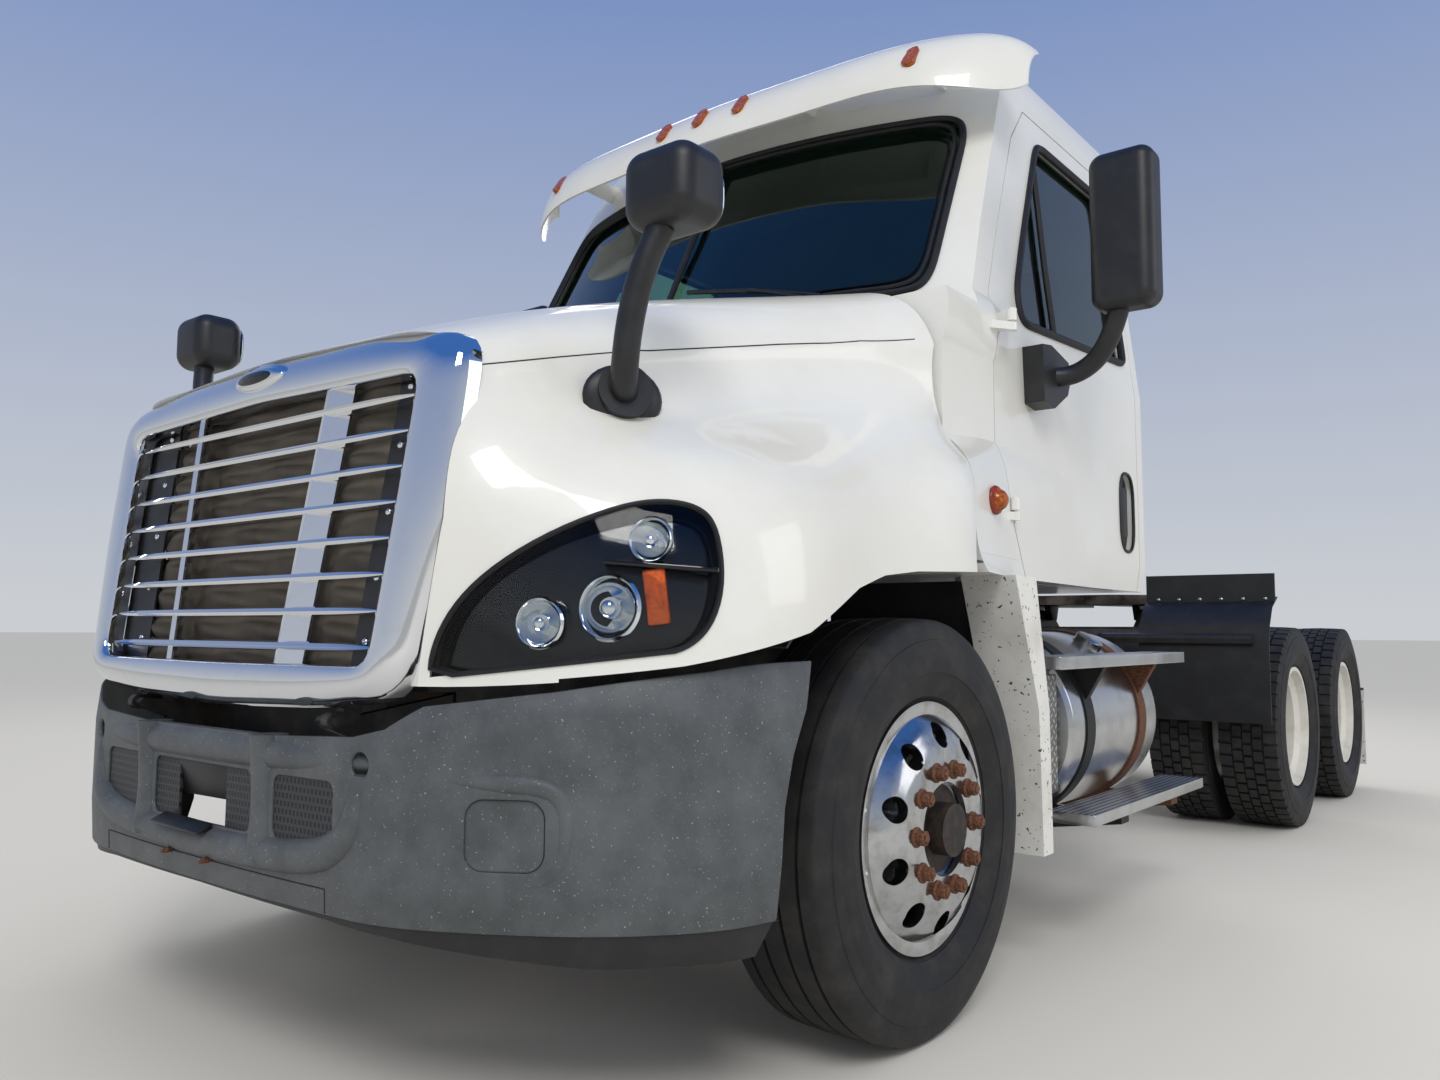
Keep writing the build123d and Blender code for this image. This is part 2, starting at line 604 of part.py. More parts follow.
def exhaust_box():
    """Closed housing of the exhaust treatment under the right side of the cab."""
    inner = -RAIL_HALF_WIDTH - SEAT_GAP
    outline = [(inner, 470), (inner, 900), (-1000, 900), (-1050, 860), (-1050, 520), (-1000, 470)]
    housing = along_y(outline, *EXHAUST_BOX_Y)
    lower, upper = LOWER_STEP[4] - SEAT_GAP, UPPER_STEP[4] - SEAT_GAP
    low_arm = [(-900, 480), (-900, lower - 40), (20 - LOWER_STEP[1], lower - 40), (20 - LOWER_STEP[1], lower),
               (-1050, lower), (-1000, 480)]
    high_arm = [(-1040, 700), (-1040, upper), (20 - UPPER_STEP[1], upper), (60 - UPPER_STEP[1], upper - 60)]
    for y in STRAP_PLACES_Y:
        housing += along_y(low_arm, y, y + 70) + along_y(high_arm, y + 20, y + 50)
    return [housing]


def tread_plate_box():
    """Box behind the left front wheel, faced with tread plate."""
    outline = [(RAIL_HALF_WIDTH + SEAT_GAP, 430), (1040, 430), (1095, 480), (1095, 840),
               (RAIL_HALF_WIDTH + SEAT_GAP, 840)]
    return [along_y(outline, *TREAD_BOX_Y)]


def air_tanks():
    """Two round tanks hung from a crossmember."""
    z = RAIL_TOP - RAIL_DEPTH - 110
    hook = CROSSMEMBERS_Y[2]
    member_low = RAIL_TOP - RAIL_DEPTH + 100 - SEAT_GAP
    solids = []
    for x in (-180, 180):
        profile = [(0, 0), (0, 90), (40, 118), (610, 118), (650, 90), (650, 0)]
        tank = Pos(x, hook - 325, z) * Rot(0, 0, 90) * turned(profile)
        solids.append(tank + block(x - 30, x + 30, hook - 40, hook + 40, z + 100, member_low))
    return solids


# Fifth wheel.
def fifth_wheel_base():
    """Two saddle brackets on a plate across the rails."""
    y, pivot_z = FIFTH_WHEEL_Y, FIFTH_WHEEL_TOP - PLATE_PIVOT_DROP
    plate_low = RAIL_TOP + SEAT_GAP
    base = block(-RAIL_HALF_WIDTH, RAIL_HALF_WIDTH, y - 330, y + 330, plate_low, plate_low + 16)
    saddle = [(y - 220, plate_low), (y + 220, plate_low), (y + 60, pivot_z + 30), (y - 60, pivot_z + 30)]
    for side in (-1, 1):
        x0, x1 = sorted((side * 300, side * 335))
        base += along_x(saddle, x0, x1)
        base -= rod_x(x0 - 5, x1 + 5, y, pivot_z, PLATE_PIN_RADIUS + RUN_GAP)
    return [base]


def fifth_wheel_plate():
    """Round-nosed coupling plate with a throat at the rear, and the lugs and pins it tilts on."""
    y, top = FIFTH_WHEEL_Y, FIFTH_WHEEL_TOP
    w, front, rear = FIFTH_WHEEL_HALF_WIDTH, FIFTH_WHEEL_FRONT, FIFTH_WHEEL_REAR
    half = [(0, y - front), (260, y - front), (430, y - 250), (w, y - 60), (w, y + 180), (430, y + 340),
            (330, y + rear), (THROAT_HALF_WIDTH, y + rear), (KINGPIN_BORE_RADIUS, y + 60)]
    outline = half + [(KINGPIN_BORE_RADIUS, y)] + [(-KINGPIN_BORE_RADIUS, y)]
    outline += [(-px, py) for px, py in reversed(half) if px > 0]
    plate = along_z(outline, top - FIFTH_WHEEL_THICKNESS, top)
    plate -= rod_z(top - 200, top + 10, 0, y, KINGPIN_BORE_RADIUS)
    pivot_z = top - PLATE_PIVOT_DROP
    for side in (-1, 1):
        for inner, outer in ((252, 292), (343, 383)):
            x0, x1 = sorted((side * inner, side * outer))
            lug = [(y - 70, top - FIFTH_WHEEL_THICKNESS), (y + 70, top - FIFTH_WHEEL_THICKNESS),
                   (y + 36, pivot_z - 34), (y - 36, pivot_z - 34)]
            plate += along_x(lug, x0, x1)
        x0, x1 = sorted((side * 252, side * 383))
        plate += rod_x(x0, x1, y, pivot_z, PLATE_PIN_RADIUS)
    return [plate]


# Rear fenders, flaps and lamps.
def quarter_fenders():
    """Curved plates ahead of the first drive tyres, with a flap and a tube to the rail."""
    y = DRIVE_AXLE_1_Y - 630
    curve = [(y, 550), (y, 900), (y + 25, 1010), (y + 90, 1100), (y + 200, 1150)]
    plate = along_x(curve + list(reversed(moved_in(curve, 6))), 620, 1222)
    flap = along_x([(y + 150, 1122), (y + 162, 1128), (y + 162, 1262), (y + 150, 1262)], 620, 1222)
    tube = rod_x(RAIL_HALF_WIDTH + SEAT_GAP, 1155, y - 12, 945, 26)
    return both_sides([plate + flap + tube])


def mud_flaps():
    y = DRIVE_AXLES_Y[1] + TYRE_RADIUS + 75
    return both_sides([block(600, 1215, y, y + 8, 140, 610)])


def flap_hangers():
    y = DRIVE_AXLES_Y[1] + TYRE_RADIUS + 75
    inner = RAIL_HALF_WIDTH + SEAT_GAP
    arm = block(inner, 1210, y + 8 + SEAT_GAP, y + 48, 560, 625)
    arm += block(inner, inner + 45, y + 8 + SEAT_GAP, y + 48, 560, 900)
    return both_sides([arm])


# Bumper and lower body.
def bumper_volume(inset):
    """Body of the bumper moved in by an inset, drawn in towards its top and its lower edge."""
    whole = [(-x, y) for x, y in reversed(BUMPER_PLAN[1:])] + BUMPER_PLAN
    wires = []
    for z, drawn in BUMPER_LEVELS:
        line = [(x, y, z) for x, y in moved_in(whole, -inset - drawn)]
        wires.append(Wire([smooth_line(line), Edge.make_line(line[-1], line[0])]))
    return Solid.make_loft(wires, ruled=True)


def bumper_trim():
    """Volume under the bumper's top line and ahead of its ends."""
    outline = BUMPER_TOP + [(1230, 310), (-1230, 310)] + [(-x, z) for x, z in reversed(BUMPER_TOP) if x > 0]
    under = along_y(outline, -1300, -300)
    end = BUMPER_END + [(-1300, 330), (-1300, 960)]
    return under & along_x(end, -1300, 1300)


def slot_cut(x0, x1):
    """Round-cornered opening through the front of the bumper."""
    return rounded(block(x0, x1, -1300, -1100, 545, 672), Vector(0, 1, 0), 22)


def lamp_blank(side):
    """Round-cornered dent in the bumper's skin where a fog lamp would go."""
    x, y, z = LAMP_BLANK
    width, height, radius = LAMP_BLANK_SIZE
    turn = atan2(-990 + 1108, 980 - 800)
    face = Plane((side * x, y, z), x_dir=(cos(turn), side * sin(turn), 0), z_dir=(side * sin(turn), -cos(turn), 0))
    prism = extrude(face.offset(-60) * RectangleRounded(width, height, radius), 120)
    return prism - bumper_volume(LAMP_BLANK_DEPTH)


def bumper():
    """Moulded three-piece bumper as one shell, with its tow holes, cooling slots and lamp blanks."""
    shell = (bumper_volume(0) - bumper_volume(BUMPER_WALL)) & bumper_trim()
    shell -= block(-1300, 1300, -1300, 0, 200, BUMPER_BOTTOM_Z)
    for side in (-1, 1):
        shell -= rod_y(-1300, -1100, side * 581, 710, 27)
        x0, x1 = sorted((side * 305, side * 508))
        shell -= slot_cut(x0, x1)
        shell -= lamp_blank(side)
    shell -= slot_cut(-220, 220)
    return [max(shell.solids(), key=lambda s: s.volume)]


def air_dam():
    """Flexible lip below the bumper."""
    shell = (bumper_volume(DAM_INSET) - bumper_volume(DAM_INSET + 6)) & bumper_trim()
    top = BUMPER_BOTTOM_Z + DAM_OVERLAP
    half = DAM_EDGE + [(1300, 350), (1300, top), (0, top)]
    zone = along_y(half, -1300, -300)
    shell = shell & (zone + other_side(zone))
    return [max(shell.solids(), key=lambda s: s.volume)]


def closeout_panels():
    """Panels that close the space between the front wheel and the steps."""
    top = CAB_FLOOR_Z - SEAT_GAP
    wall = [(460, top), (605, 750), (622, 340), (634, 340), (617, 752), (475, top)]
    panel = along_x(wall, 1020, 1186)
    side = [(475, top), (617, 752), (634, 340), (690, 340), (680, 752), (600, top)]
    panel += along_x(side, 1180, 1186)
    left_arm = block(1020, 1056, 625, TREAD_BOX_Y[0] - SEAT_GAP, 500, 560)
    right_arm = block(1010, 1046, 625, EXHAUST_BOX_Y[0] - SEAT_GAP, 530, 590) + block(1010, 1046, 612, 634, 530, 590)
    return [panel + left_arm, other_side(panel + right_arm)]


# Cab. The outer body is a prism with the screen's curved face, and each panel is cut from its shell.
def cab_volume(inset, floor_inset=None):
    """Cab body moved in by an inset, with another one for the floor where it is given."""
    line = list(reversed(CAB_OUTLINE))
    mirrored = [(-x, z) for x, z in CAB_OUTLINE[:-1]]
    whole = mirrored + line
    shifted = moved_in(whole, inset) if inset else whole
    low = CAB_FLOOR_Z + (inset if floor_inset is None else floor_inset)
    outline = [(shifted[0][0], low)] + shifted[1:-1] + [(shifted[-1][0], low)]
    body = along_y(outline, CAB_FRONT_Y + inset, CAB_REAR_Y - inset)
    bulges = bulge(FLARE_STATIONS, inset) + bulge(BUMP_STATIONS, inset)
    bulges -= block(-1300, 1300, 0, CAB_REAR_Y, 900, low)
    body = body + bulges + other_side(bulges)
    return body - screen_space(inset)


def bulge(stations, inset):
    """Swelling of the cab's left side through stations, moved in by an inset."""
    wires = []
    for i, (y, points) in enumerate(stations):
        line = moved_in(points, inset) if inset else points
        at = y + inset if i == 0 else y
        outer = [(x, at, z) for x, z in line]
        rest = [outer[-1], (900, at, outer[-1][2]), (900, at, outer[0][2]), outer[0]]
        wires.append(Wire([smooth_line(outer)] + straight_lines(rest)))
    return Solid.make_loft(wires, ruled=True)


def screen_space(inset):
    """Space ahead of the wind screen's curved face, above its base."""
    wires = []
    for z in (SCREEN_BASE_Z + inset, SCREEN_TOP_Z):
        back = (z - SCREEN_BASE_Z) * SCREEN_SLOPE + inset
        middle = (0, SCREEN_CENTRE_Y + back, z)
        ends = [(x, SCREEN_EDGE_Y + back, z) for x in (-SCREEN_EDGE_X, SCREEN_EDGE_X)]
        arc = Edge.make_three_point_arc(ends[0], middle, ends[1])
        far = [(SCREEN_EDGE_X + 140, ends[1][1] + 60, z), (SCREEN_EDGE_X + 140, -200, z),
               (-SCREEN_EDGE_X - 140, -200, z), (-SCREEN_EDGE_X - 140, ends[0][1] + 60, z)]
        corners = [ends[1]] + far + [ends[0]]
        lines = [Edge.make_line(a, b) for a, b in zip(corners[:-1], corners[1:])]
        wires.append(Wire([arc] + lines))
    return Solid.make_loft(wires, ruled=True)


def cab_shell():
    return cab_volume(0) - cab_volume(CAB_WALL)


DOOR_OUTLINE = [(DOOR_FRONT_Y + 110, DOOR_BOTTOM_Z), (DOOR_FRONT_Y, 1330), (DOOR_FRONT_Y, 2000),
                (DOOR_FRONT_Y + 330, 2620), (DOOR_FRONT_Y + 460, DOOR_TOP_Z), (DOOR_REAR_Y - 60, DOOR_TOP_Z),
                (DOOR_REAR_Y, DOOR_TOP_Z - 70), (DOOR_REAR_Y, DOOR_BOTTOM_Z)]
WINDOW_OUTLINE = [(830, 1990), (850, 1962), (890, 1955), (1790, 2005), (1810, 2030), (1800, 2640), (1770, 2672),
                  (1180, 2672), (1140, 2640), (832, 2060)]
BELOW_FLOOR = -50


def door_cut(side):
    """Space for a door in the side wall, down through the edge of the floor."""
    x0, x1 = sorted((side * 600, side * 1300))
    opening = along_x(grown(DOOR_OUTLINE, PANEL_GAP), x0, x1)
    return opening - cab_volume(CAB_WALL + PANEL_GAP, BELOW_FLOOR)


def door_hinge(side, z, arm, low, high):
    """Hinge arm in plan, between two heights over the hinge's foot."""
    x, y = DOOR_PIVOT
    part = along_z([(x + dx, y + dy) for dx, dy in arm], z + low, z + high)
    part += rod_z(z + low, z + high, x, y, HINGE_EYE_RADIUS)
    return part if side > 0 else other_side(part)


def cab_hinges(side):
    """Lower eyes of a door's two hinges with their pins, for the front of the cab."""
    x, y = DOOR_PIVOT
    arms = None
    for z in HINGES_Z:
        eye = door_hinge(side, z, CAB_HINGE_ARM, 0, 24)
        eye += rod_z(z, z + 70, side * x, y, HINGE_PIN_RADIUS)
        arms = eye if arms is None else arms + eye
    return arms


def door(side):
    x0, x1 = sorted((side * 600, side * 1300))
    panel = (cab_volume(0) - cab_volume(CAB_WALL, BELOW_FLOOR)) & along_x(DOOR_OUTLINE, x0, x1)
    panel -= along_x(WINDOW_OUTLINE, x0, x1)
    panel -= handle_pocket(side)
    x, y = DOOR_PIVOT
    for z in HINGES_Z:
        panel -= hinge_pocket(side, z)
        panel += door_hinge(side, z, DOOR_HINGE_ARM, 30, 66)
        panel -= rod_z(z + 20, z + 80, side * x, y, HINGE_PIN_RADIUS + RUN_GAP)
    return [max(panel.solids(), key=lambda s: s.volume)]


def hinge_pocket(side, z):
    """Room in the door's edge for the cab's eye and arm of a hinge."""
    x, y = DOOR_PIVOT
    arm = [(x + dx, y + dy) for dx, dy in grown(CAB_HINGE_ARM, PANEL_GAP)]
    room = along_z(arm, z - 8, z + 28) + rod_z(z - 8, z + 28, x, y, HINGE_EYE_RADIUS + PANEL_GAP)
    return room if side > 0 else other_side(room)


def handle_pocket(side):
    """Long round-ended recess for the pull handle at the rear of the door."""
    y, z, width, height, radius, floor_x = HANDLE_POCKET
    face = Plane((side * floor_x, y, z), x_dir=(0, 1, 0), z_dir=(side, 0, 0))
    return extrude(face * RectangleRounded(width, height, radius), 200)


def door_glass(side):
    x0, x1 = sorted((side * 600, side * 1300))
    sheet = cab_volume(GLASS_INSET) - cab_volume(GLASS_INSET + GLASS)
    return [sheet & along_x(grown(WINDOW_OUTLINE, -SEAT_GAP), x0, x1)]


SCREEN_OUTLINE = [(0, 1975), (880, 1985), (925, 2030), (900, 2610), (850, 2672), (0, 2690)]
REAR_WINDOW = [(-470, 2060), (470, 2060), (500, 2090), (500, 2520), (470, 2550), (-470, 2550), (-500, 2520),
               (-500, 2090)]


def screen_prism(gap):
    return along_y(grown(full_width(SCREEN_OUTLINE), gap), 0, 1200)


def front_and_sides():
    """Shell without doors, screen and rear window."""
    shell = cab_shell()
    for side in (-1, 1):
        shell -= door_cut(side)
    shell -= screen_prism(0)
    shell -= along_y(REAR_WINDOW, CAB_REAR_Y - 200, CAB_REAR_Y + 100)
    return shell


SEAM = SEAT_GAP / 2
PILLAR_Y = 1000


def cab_front():
    """Firewall, cowl and windscreen pillars."""
    zone = block(-1300, 1300, -100, PILLAR_Y - SEAM, CAB_FLOOR_Z + CAB_WALL + SEAM, ROOF_SEAM_Z - SEAM)
    part = (front_and_sides() & zone) + cab_hinges(1) + cab_hinges(-1)
    return [s for s in part.solids()]


def cab_sides():
    """Rear corner posts with their door frames."""
    zone = block(-1300, 1300, PILLAR_Y + SEAM, CAB_REAR_Y - CAB_WALL - SEAM, CAB_FLOOR_Z + CAB_WALL + SEAM,
                 ROOF_SEAM_Z - SEAM)
    part = front_and_sides() & zone
    return [s for s in part.solids()]


def cab_roof():
    part = front_and_sides() & block(-1300, 1300, -100, CAB_REAR_Y + 10, ROOF_SEAM_Z + SEAM, 3200)
    return [s for s in part.solids()]


def cab_rear_wall():
    zone = block(-1300, 1300, CAB_REAR_Y - CAB_WALL + SEAM, CAB_REAR_Y + 10, CAB_FLOOR_Z - 10, ROOF_SEAM_Z - SEAM)
    part = front_and_sides() & zone
    return [s for s in part.solids()]


def cab_floor():
    zone = block(-1300, 1300, CAB_FRONT_Y - 10, CAB_REAR_Y - CAB_WALL - SEAM, CAB_FLOOR_Z - 100,
                 CAB_FLOOR_Z + CAB_WALL - SEAM)
    part = front_and_sides() & zone
    return [s for s in part.solids()]


def cab_glass():
    screen = (cab_volume(GLASS_INSET) - cab_volume(GLASS_INSET + GLASS)) & screen_prism(-SEAT_GAP)
    y = CAB_REAR_Y - GLASS_INSET
    rear = along_y(grown(REAR_WINDOW, -SEAT_GAP), y - GLASS, y)
    return [s for s in screen.solids()] + [rear]


def dashboard():
    firewall = CAB_FRONT_Y + CAB_WALL + SEAT_GAP
    profile = [(firewall, 1640), (500, 1500), (760, 1500), (800, 1640), (790, 1800), (720, 1880), (560, 1915),
               (firewall, 1925)]
    return [along_x(profile, -920, 920) - steering_column(SEAT_GAP)]


def seats():
    """Two high-backed seats on their pedestals."""
    floor = CAB_FLOOR_Z + CAB_WALL + SEAT_GAP
    profile = [(1180, floor), (1620, floor), (1620, 1560), (1690, 1620), (1860, 2400), (1790, 2440), (1740, 2420),
               (1600, 1750), (1560, 1700), (1130, 1720), (1110, 1660), (1140, 1570), (1180, 1560)]
    seat = along_x(profile, 250, 780)
    return both_sides([seat])


STEERING_WHEEL = (500, 930, 1930)
STEERING_TILT = -38


def steering_column(gap):
    column = Solid.make_cylinder(32 + gap, 260 + gap, Plane((0, 0, -275 - gap)))
    return Pos(*STEERING_WHEEL) * Rot(STEERING_TILT, 0, 0) * column


def steering_wheel():
    x, y, z = STEERING_WHEEL
    ring = Solid.make_torus(225, 16, Plane((0, 0, 0)))
    ring += Solid.make_cylinder(60, 30, Plane((0, 0, -30)))
    for turn in (0, 120, 240):
        ring += Rot(0, 0, turn + 90) * block(0, 225, -14, 14, -22, -6)
    return [Pos(x, y, z) * Rot(STEERING_TILT, 0, 0) * ring + steering_column(0)]


# Sun visor over the screen. Each station is x, y and z of the lower lip, then y and z of the top edge.
VISOR_STATIONS = [(0, 455, 2690, 735, 2945), (500, 487, 2690, 740, 2942), (850, 548, 2682, 755, 2925),
                  (1010, 640, 2660, 775, 2895), (1120, 762, 2690, 850, 2830)]
VISOR_WALL = 8
# Brackets at x, with the y of their lower and upper front corners, ahead of the visor's wall that trims them.
VISOR_BRACKETS = [(330, 480, 520), (790, 545, 600)]
# Middle of each clearance lamp on the visor's face.
MARKER_LAMPS = [(0, 503, 2805), (178, 509, 2803), (-178, 509, 2803), (813, 577, 2792), (-813, 577, 2792)]
LAMP_SINK = 12
SIDE_LAMP_X = 1128


def visor_section(x, y0, z0, y1, z1, outside, depth):
    line = [(y0, z0), (y0 + (y1 - y0) * 0.06, z0 + (z1 - z0) * 0.28), (y0 + (y1 - y0) * 0.28, z0 + (z1 - z0) * 0.62),
            (y0 + (y1 - y0) * 0.6, z0 + (z1 - z0) * 0.86), (y1, z1)]
    front = [(x, y, z) for y, z in moved_in(line, -outside)]
    back = [(x, y, z) for y, z in reversed(moved_in(line, depth))]
    return Wire([smooth_line(front), Edge.make_line(front[-1], back[0]), smooth_line(back),
                 Edge.make_line(back[-1], front[0])])


def visor_volume(outside, depth):
    right = [(-x, *rest) for x, *rest in reversed(VISOR_STATIONS[1:])]
    wires = [visor_section(*station, outside, depth) for station in right + VISOR_STATIONS]
    return Solid.make_loft(wires, ruled=False)


def sun_visor():
    """Visor shell on four thin brackets from the front of the roof."""
    visor = visor_volume(0, VISOR_WALL)
    spare = cab_volume(-SEAT_GAP) + visor_volume(100, VISOR_WALL / 2)
    for side in (-1, 1):
        for x, low_y, high_y in VISOR_BRACKETS:
            plate = along_x([(low_y, 2812), (high_y, 2868), (900, 2880), (900, 2800)], side * x - 5, side * x + 5)
            visor += min((plate - spare).solids(), key=lambda s: s.center().Y)
    return [visor]


def marker_lamps():
    """Five clearance lamps along the visor and a turn lamp on each side of the cowl."""
    solids = []
    face = visor_volume(SEAT_GAP, 40)
    for x, y, z in MARKER_LAMPS:
        place = Plane((x, y, z), x_dir=(0, 0.575, 0.82), z_dir=(0, -0.82, 0.575)).offset(-LAMP_SINK)
        lamp = extrude(place * SlotOverall(96, 44), LAMP_SINK + 16) - face
        solids.append(max(lamp.solids(), key=lambda s: s.volume))
    for side in (-1, 1):
        x0, x1 = sorted((side * 1090, side * (SIDE_LAMP_X + 16)))
        lamp = rod_x(x0, x1, 452, 1341, 31) - cab_volume(-SEAT_GAP)
        solids.append(max(lamp.solids(), key=lambda s: s.volume))
    return solids


# Hood and what tilts with it.
def hood_section(y, points, inset):
    """Section of the hood: two smooth sides and a crowned top that meet in creases."""
    whole = [(-x, z) for x, z in reversed(points[1:])] + points
    line = [(x, y, z) for x, z in (moved_in(whole, inset) if inset else whole)]
    left = len(points) - 1 - HOOD_CREASE
    right = len(points) - 1 + HOOD_CREASE
    sides = [smooth_line(line[:left + 1]), smooth_line(line[left:right + 1]), smooth_line(line[right:])]
    drop = 400 if inset else 0
    (x0, _, z0), (x1, _, z1) = line[0], line[-1]
    foot = [line[-1], (x1, y, z1 - drop), (x0, y, z0 - drop), line[0]] if drop else [line[-1], line[0]]
    return Wire(sides + straight_lines(foot))


def hood_volume(inset):
    wires = []
    for i, (y, points) in enumerate(HOOD_STATIONS):
        if inset and i == 0:
            y += inset
        if inset and i == len(HOOD_STATIONS) - 1:
            y += 50
        wires.append(hood_section(y, points, inset))
    return Solid.make_loft(wires, ruled=False)


def grille_place():
    """Plane of the grille's face: x across, y up the lean, z to the front."""
    y, z = GRILLE_FOOT
    return Plane((0, y, z), x_dir=(1, 0, 0), z_dir=(0, -cos(radians(GRILLE_LEAN)), sin(radians(GRILLE_LEAN))))


def on_grille(outline, depth_back, depth_front):
    """Prism on the leaning grille face from a closed outline in (x, z), between two depths."""
    lean = cos(radians(GRILLE_LEAN))
    plane = grille_place()
    corners = [plane.from_local_coords(Vector(x, (z - GRILLE_FOOT[1]) / lean, -depth_back)) for x, z in outline]
    return Solid.extrude(Face(Wire.make_polygon(corners, close=True)), plane.z_dir * (depth_back - depth_front))


def lamp_prism(gap, depth):
    """Prism through the front corner with the headlamp's outline."""
    x0, y0 = LAMP_ORIGIN
    ux, uy = cos(radians(LAMP_ANGLE)), sin(radians(LAMP_ANGLE))
    nx, ny = uy, -ux
    outline = grown(LAMP_OUTLINE, gap)
    corners = [(x0 + s * ux + nx * 300, y0 + s * uy + ny * 300, z) for s, z in outline]
    outline_wire = Wire([Edge.make_line(*corners[:2]), smooth_line(corners[1:] + corners[:1])])
    return Solid.extrude(Face(outline_wire), Vector(-nx, -ny, 0) * (300 + depth))


def surround_block(gap, depth_back, depth_front):
    """Round-cornered block with the surround's outer outline."""
    outline = grown(full_width(SURROUND_OUTER), gap)
    solid = on_grille(outline, depth_back, depth_front)
    edges = [e for e in solid.edges() if abs((e % 0).dot(grille_place().z_dir)) > 0.999 and abs(e.center().X) > 600
             and (e.center().Z < 900 or e.center().Z > 1500)]
    return solid.fillet(OUTER_CORNER_RADIUS + gap, edges)


def hood():
    """Moulded hood with its fenders in one shell, cut for the grille, the lamps and the wheels."""
    shell = hood_volume(0) - hood_volume(HOOD_WALL)
    shell -= surround_block(SEAT_GAP, SURROUND_DEPTH + SEAT_GAP, -100)
    shell -= on_grille(grown(full_width(SURROUND_OUTER), -HOOD_FLANGE), 150, -100)
    for side in (-1, 1):
        x0, x1 = sorted((side * 600, side * 1400))
        shell -= along_x(ARCH_OUTLINE, x0, x1)
        lamp = lamp_prism(SEAT_GAP, 200)
        shell -= lamp if side > 0 else other_side(lamp)
    return [max(shell.solids(), key=lambda s: s.volume)]


def grille_opening(gap, depth_back, depth_front):
    """Round-cornered block with the outline of the surround's opening."""
    opening = on_grille(grown(full_width(SURROUND_INNER), gap), depth_back, depth_front)
    edges = [e for e in opening.edges() if abs((e % 0).dot(grille_place().z_dir)) > 0.999 and abs(e.center().X) > 500
             and (e.center().Z < 950 or e.center().Z > 1440)]
    return opening.fillet(INNER_CORNER_RADIUS + gap, edges)


def grille_surround():
    """Plated moulding whose face curves back to the hood all round, with a round-cornered opening."""
    frame = surround_block(0, SURROUND_DEPTH, 0)
    plane = grille_place()
    front = max(frame.faces(), key=lambda f: f.center().dot(plane.z_dir))
    frame = frame.fillet(SURROUND_CROWN, front.edges())
    frame -= grille_opening(0, SURROUND_DEPTH + 10, -10)
    return [frame]


def hood_hinges():
    """Arms behind the grille surround, down to eyes on the pivot pins."""
    y, z = HOOD_PIVOT
    x0 = BRACKET_X + BRACKET_THICKNESS + 6
    x1 = x0 + 24
    outline = [(y, z - 18), (y + 55, z + 5), (y + 70, z + 45), (y + 70, z + 105), (y + 30, z + 105),
               (y + 30, z + 30), (y, z + 18)]
    arm = along_x(outline, x0, x1) + rod_x(x0, x1, y, z, 18)
    arm -= rod_x(x0 - 5, x1 + 5, y, z, HOOD_PIN_RADIUS + RUN_GAP)
    arm -= on_grille(grown(full_width(SURROUND_OUTER), SEAT_GAP), SURROUND_DEPTH + SEAT_GAP, -10)
    return both_sides([arm.solid()])


def grille_bars():
    """Eight lens-shaped bars on two upright straps, in one casting."""
    lean = cos(radians(GRILLE_LEAN))
    top = (SURROUND_INNER[-1][1] - GRILLE_FOOT[1]) / lean
    foot = (SURROUND_INNER[0][1] - GRILLE_FOOT[1]) / lean
    plane = grille_place()
    grid = None
    for i in range(BAR_COUNT):
        z = BAR_FIRST_Z + BAR_PITCH * i
        v = (z - GRILLE_FOOT[1]) / lean
        reach = 596 + 30 * (z - 904) / 560
        section = [(-12, v), (-24, v + BAR_HEIGHT / 2), (-BAR_DEPTH, v + 5), (-BAR_DEPTH, v - 5),
                   (-24, v - BAR_HEIGHT / 2)]
        corners = [plane.from_local_coords(Vector(-reach, up, back)) for back, up in section]
        bar = Solid.extrude(Face(Wire.make_polygon(corners, close=True)), Vector(2 * reach, 0, 0))
        grid = bar if grid is None else grid + bar
    for side in (-1, 1):
        half = STRAP_WIDTH / 2
        strap = [(STRAP_FOOT_X - half, foot + SEAT_GAP), (STRAP_FOOT_X + half, foot + SEAT_GAP),
                 (STRAP_HEAD_X + half, top - 14), (STRAP_HEAD_X - half, top - 14)]
        corners = [plane.from_local_coords(Vector(side * x, v, -34)) for x, v in strap]
        grid += Solid.extrude(Face(Wire.make_polygon(corners, close=True)), plane.z_dir * 14)
    return [grid & grille_opening(-SEAT_GAP, BAR_DEPTH + 10, 0)]


def headlamps():
    body = hood_volume(0) - hood_volume(90)
    left = body & lamp_prism(0, 200)
    lamp = max(left.solids(), key=lambda s: s.volume)
    return both_sides([lamp])


def inner_fenders():
    """Splash liners inside the fenders."""
    line = [(-640, 940), (-560, 1040), (-420, 1105), (-250, 1140), (0, 1155), (262, 1158)]
    liner = along_x(line + list(reversed(moved_in(line, 5))), 640, 1300) & hood_volume(HOOD_WALL + SEAT_GAP)
    return both_sides([max(liner.solids(), key=lambda s: s.volume)])


MIRROR_ARM = [(835, -735, 1470), (880, -785, 1500), (908, -802, 1590), (940, -800, 1700), (978, -780, 1800)]
MIRROR_HEAD = (994, -762, 1876)
MIRROR_HEAD_SIZE = (188, 150, 168)


def hood_mirrors():
    """Round-cornered mirror heads on bowed arms from the sides of the hood."""
    head = Pos(*MIRROR_HEAD) * Box(*MIRROR_HEAD_SIZE)
    head = fillet(head.edges(), 48)
    foot = rod_between((822, -735, 1470), (862, -760, 1480), 60)
    body = (head.solid() + bowed_rod(MIRROR_ARM, 29) + foot) - hood_volume(-SEAT_GAP)
    return both_sides([max(body.solids(), key=lambda s: s.volume)])


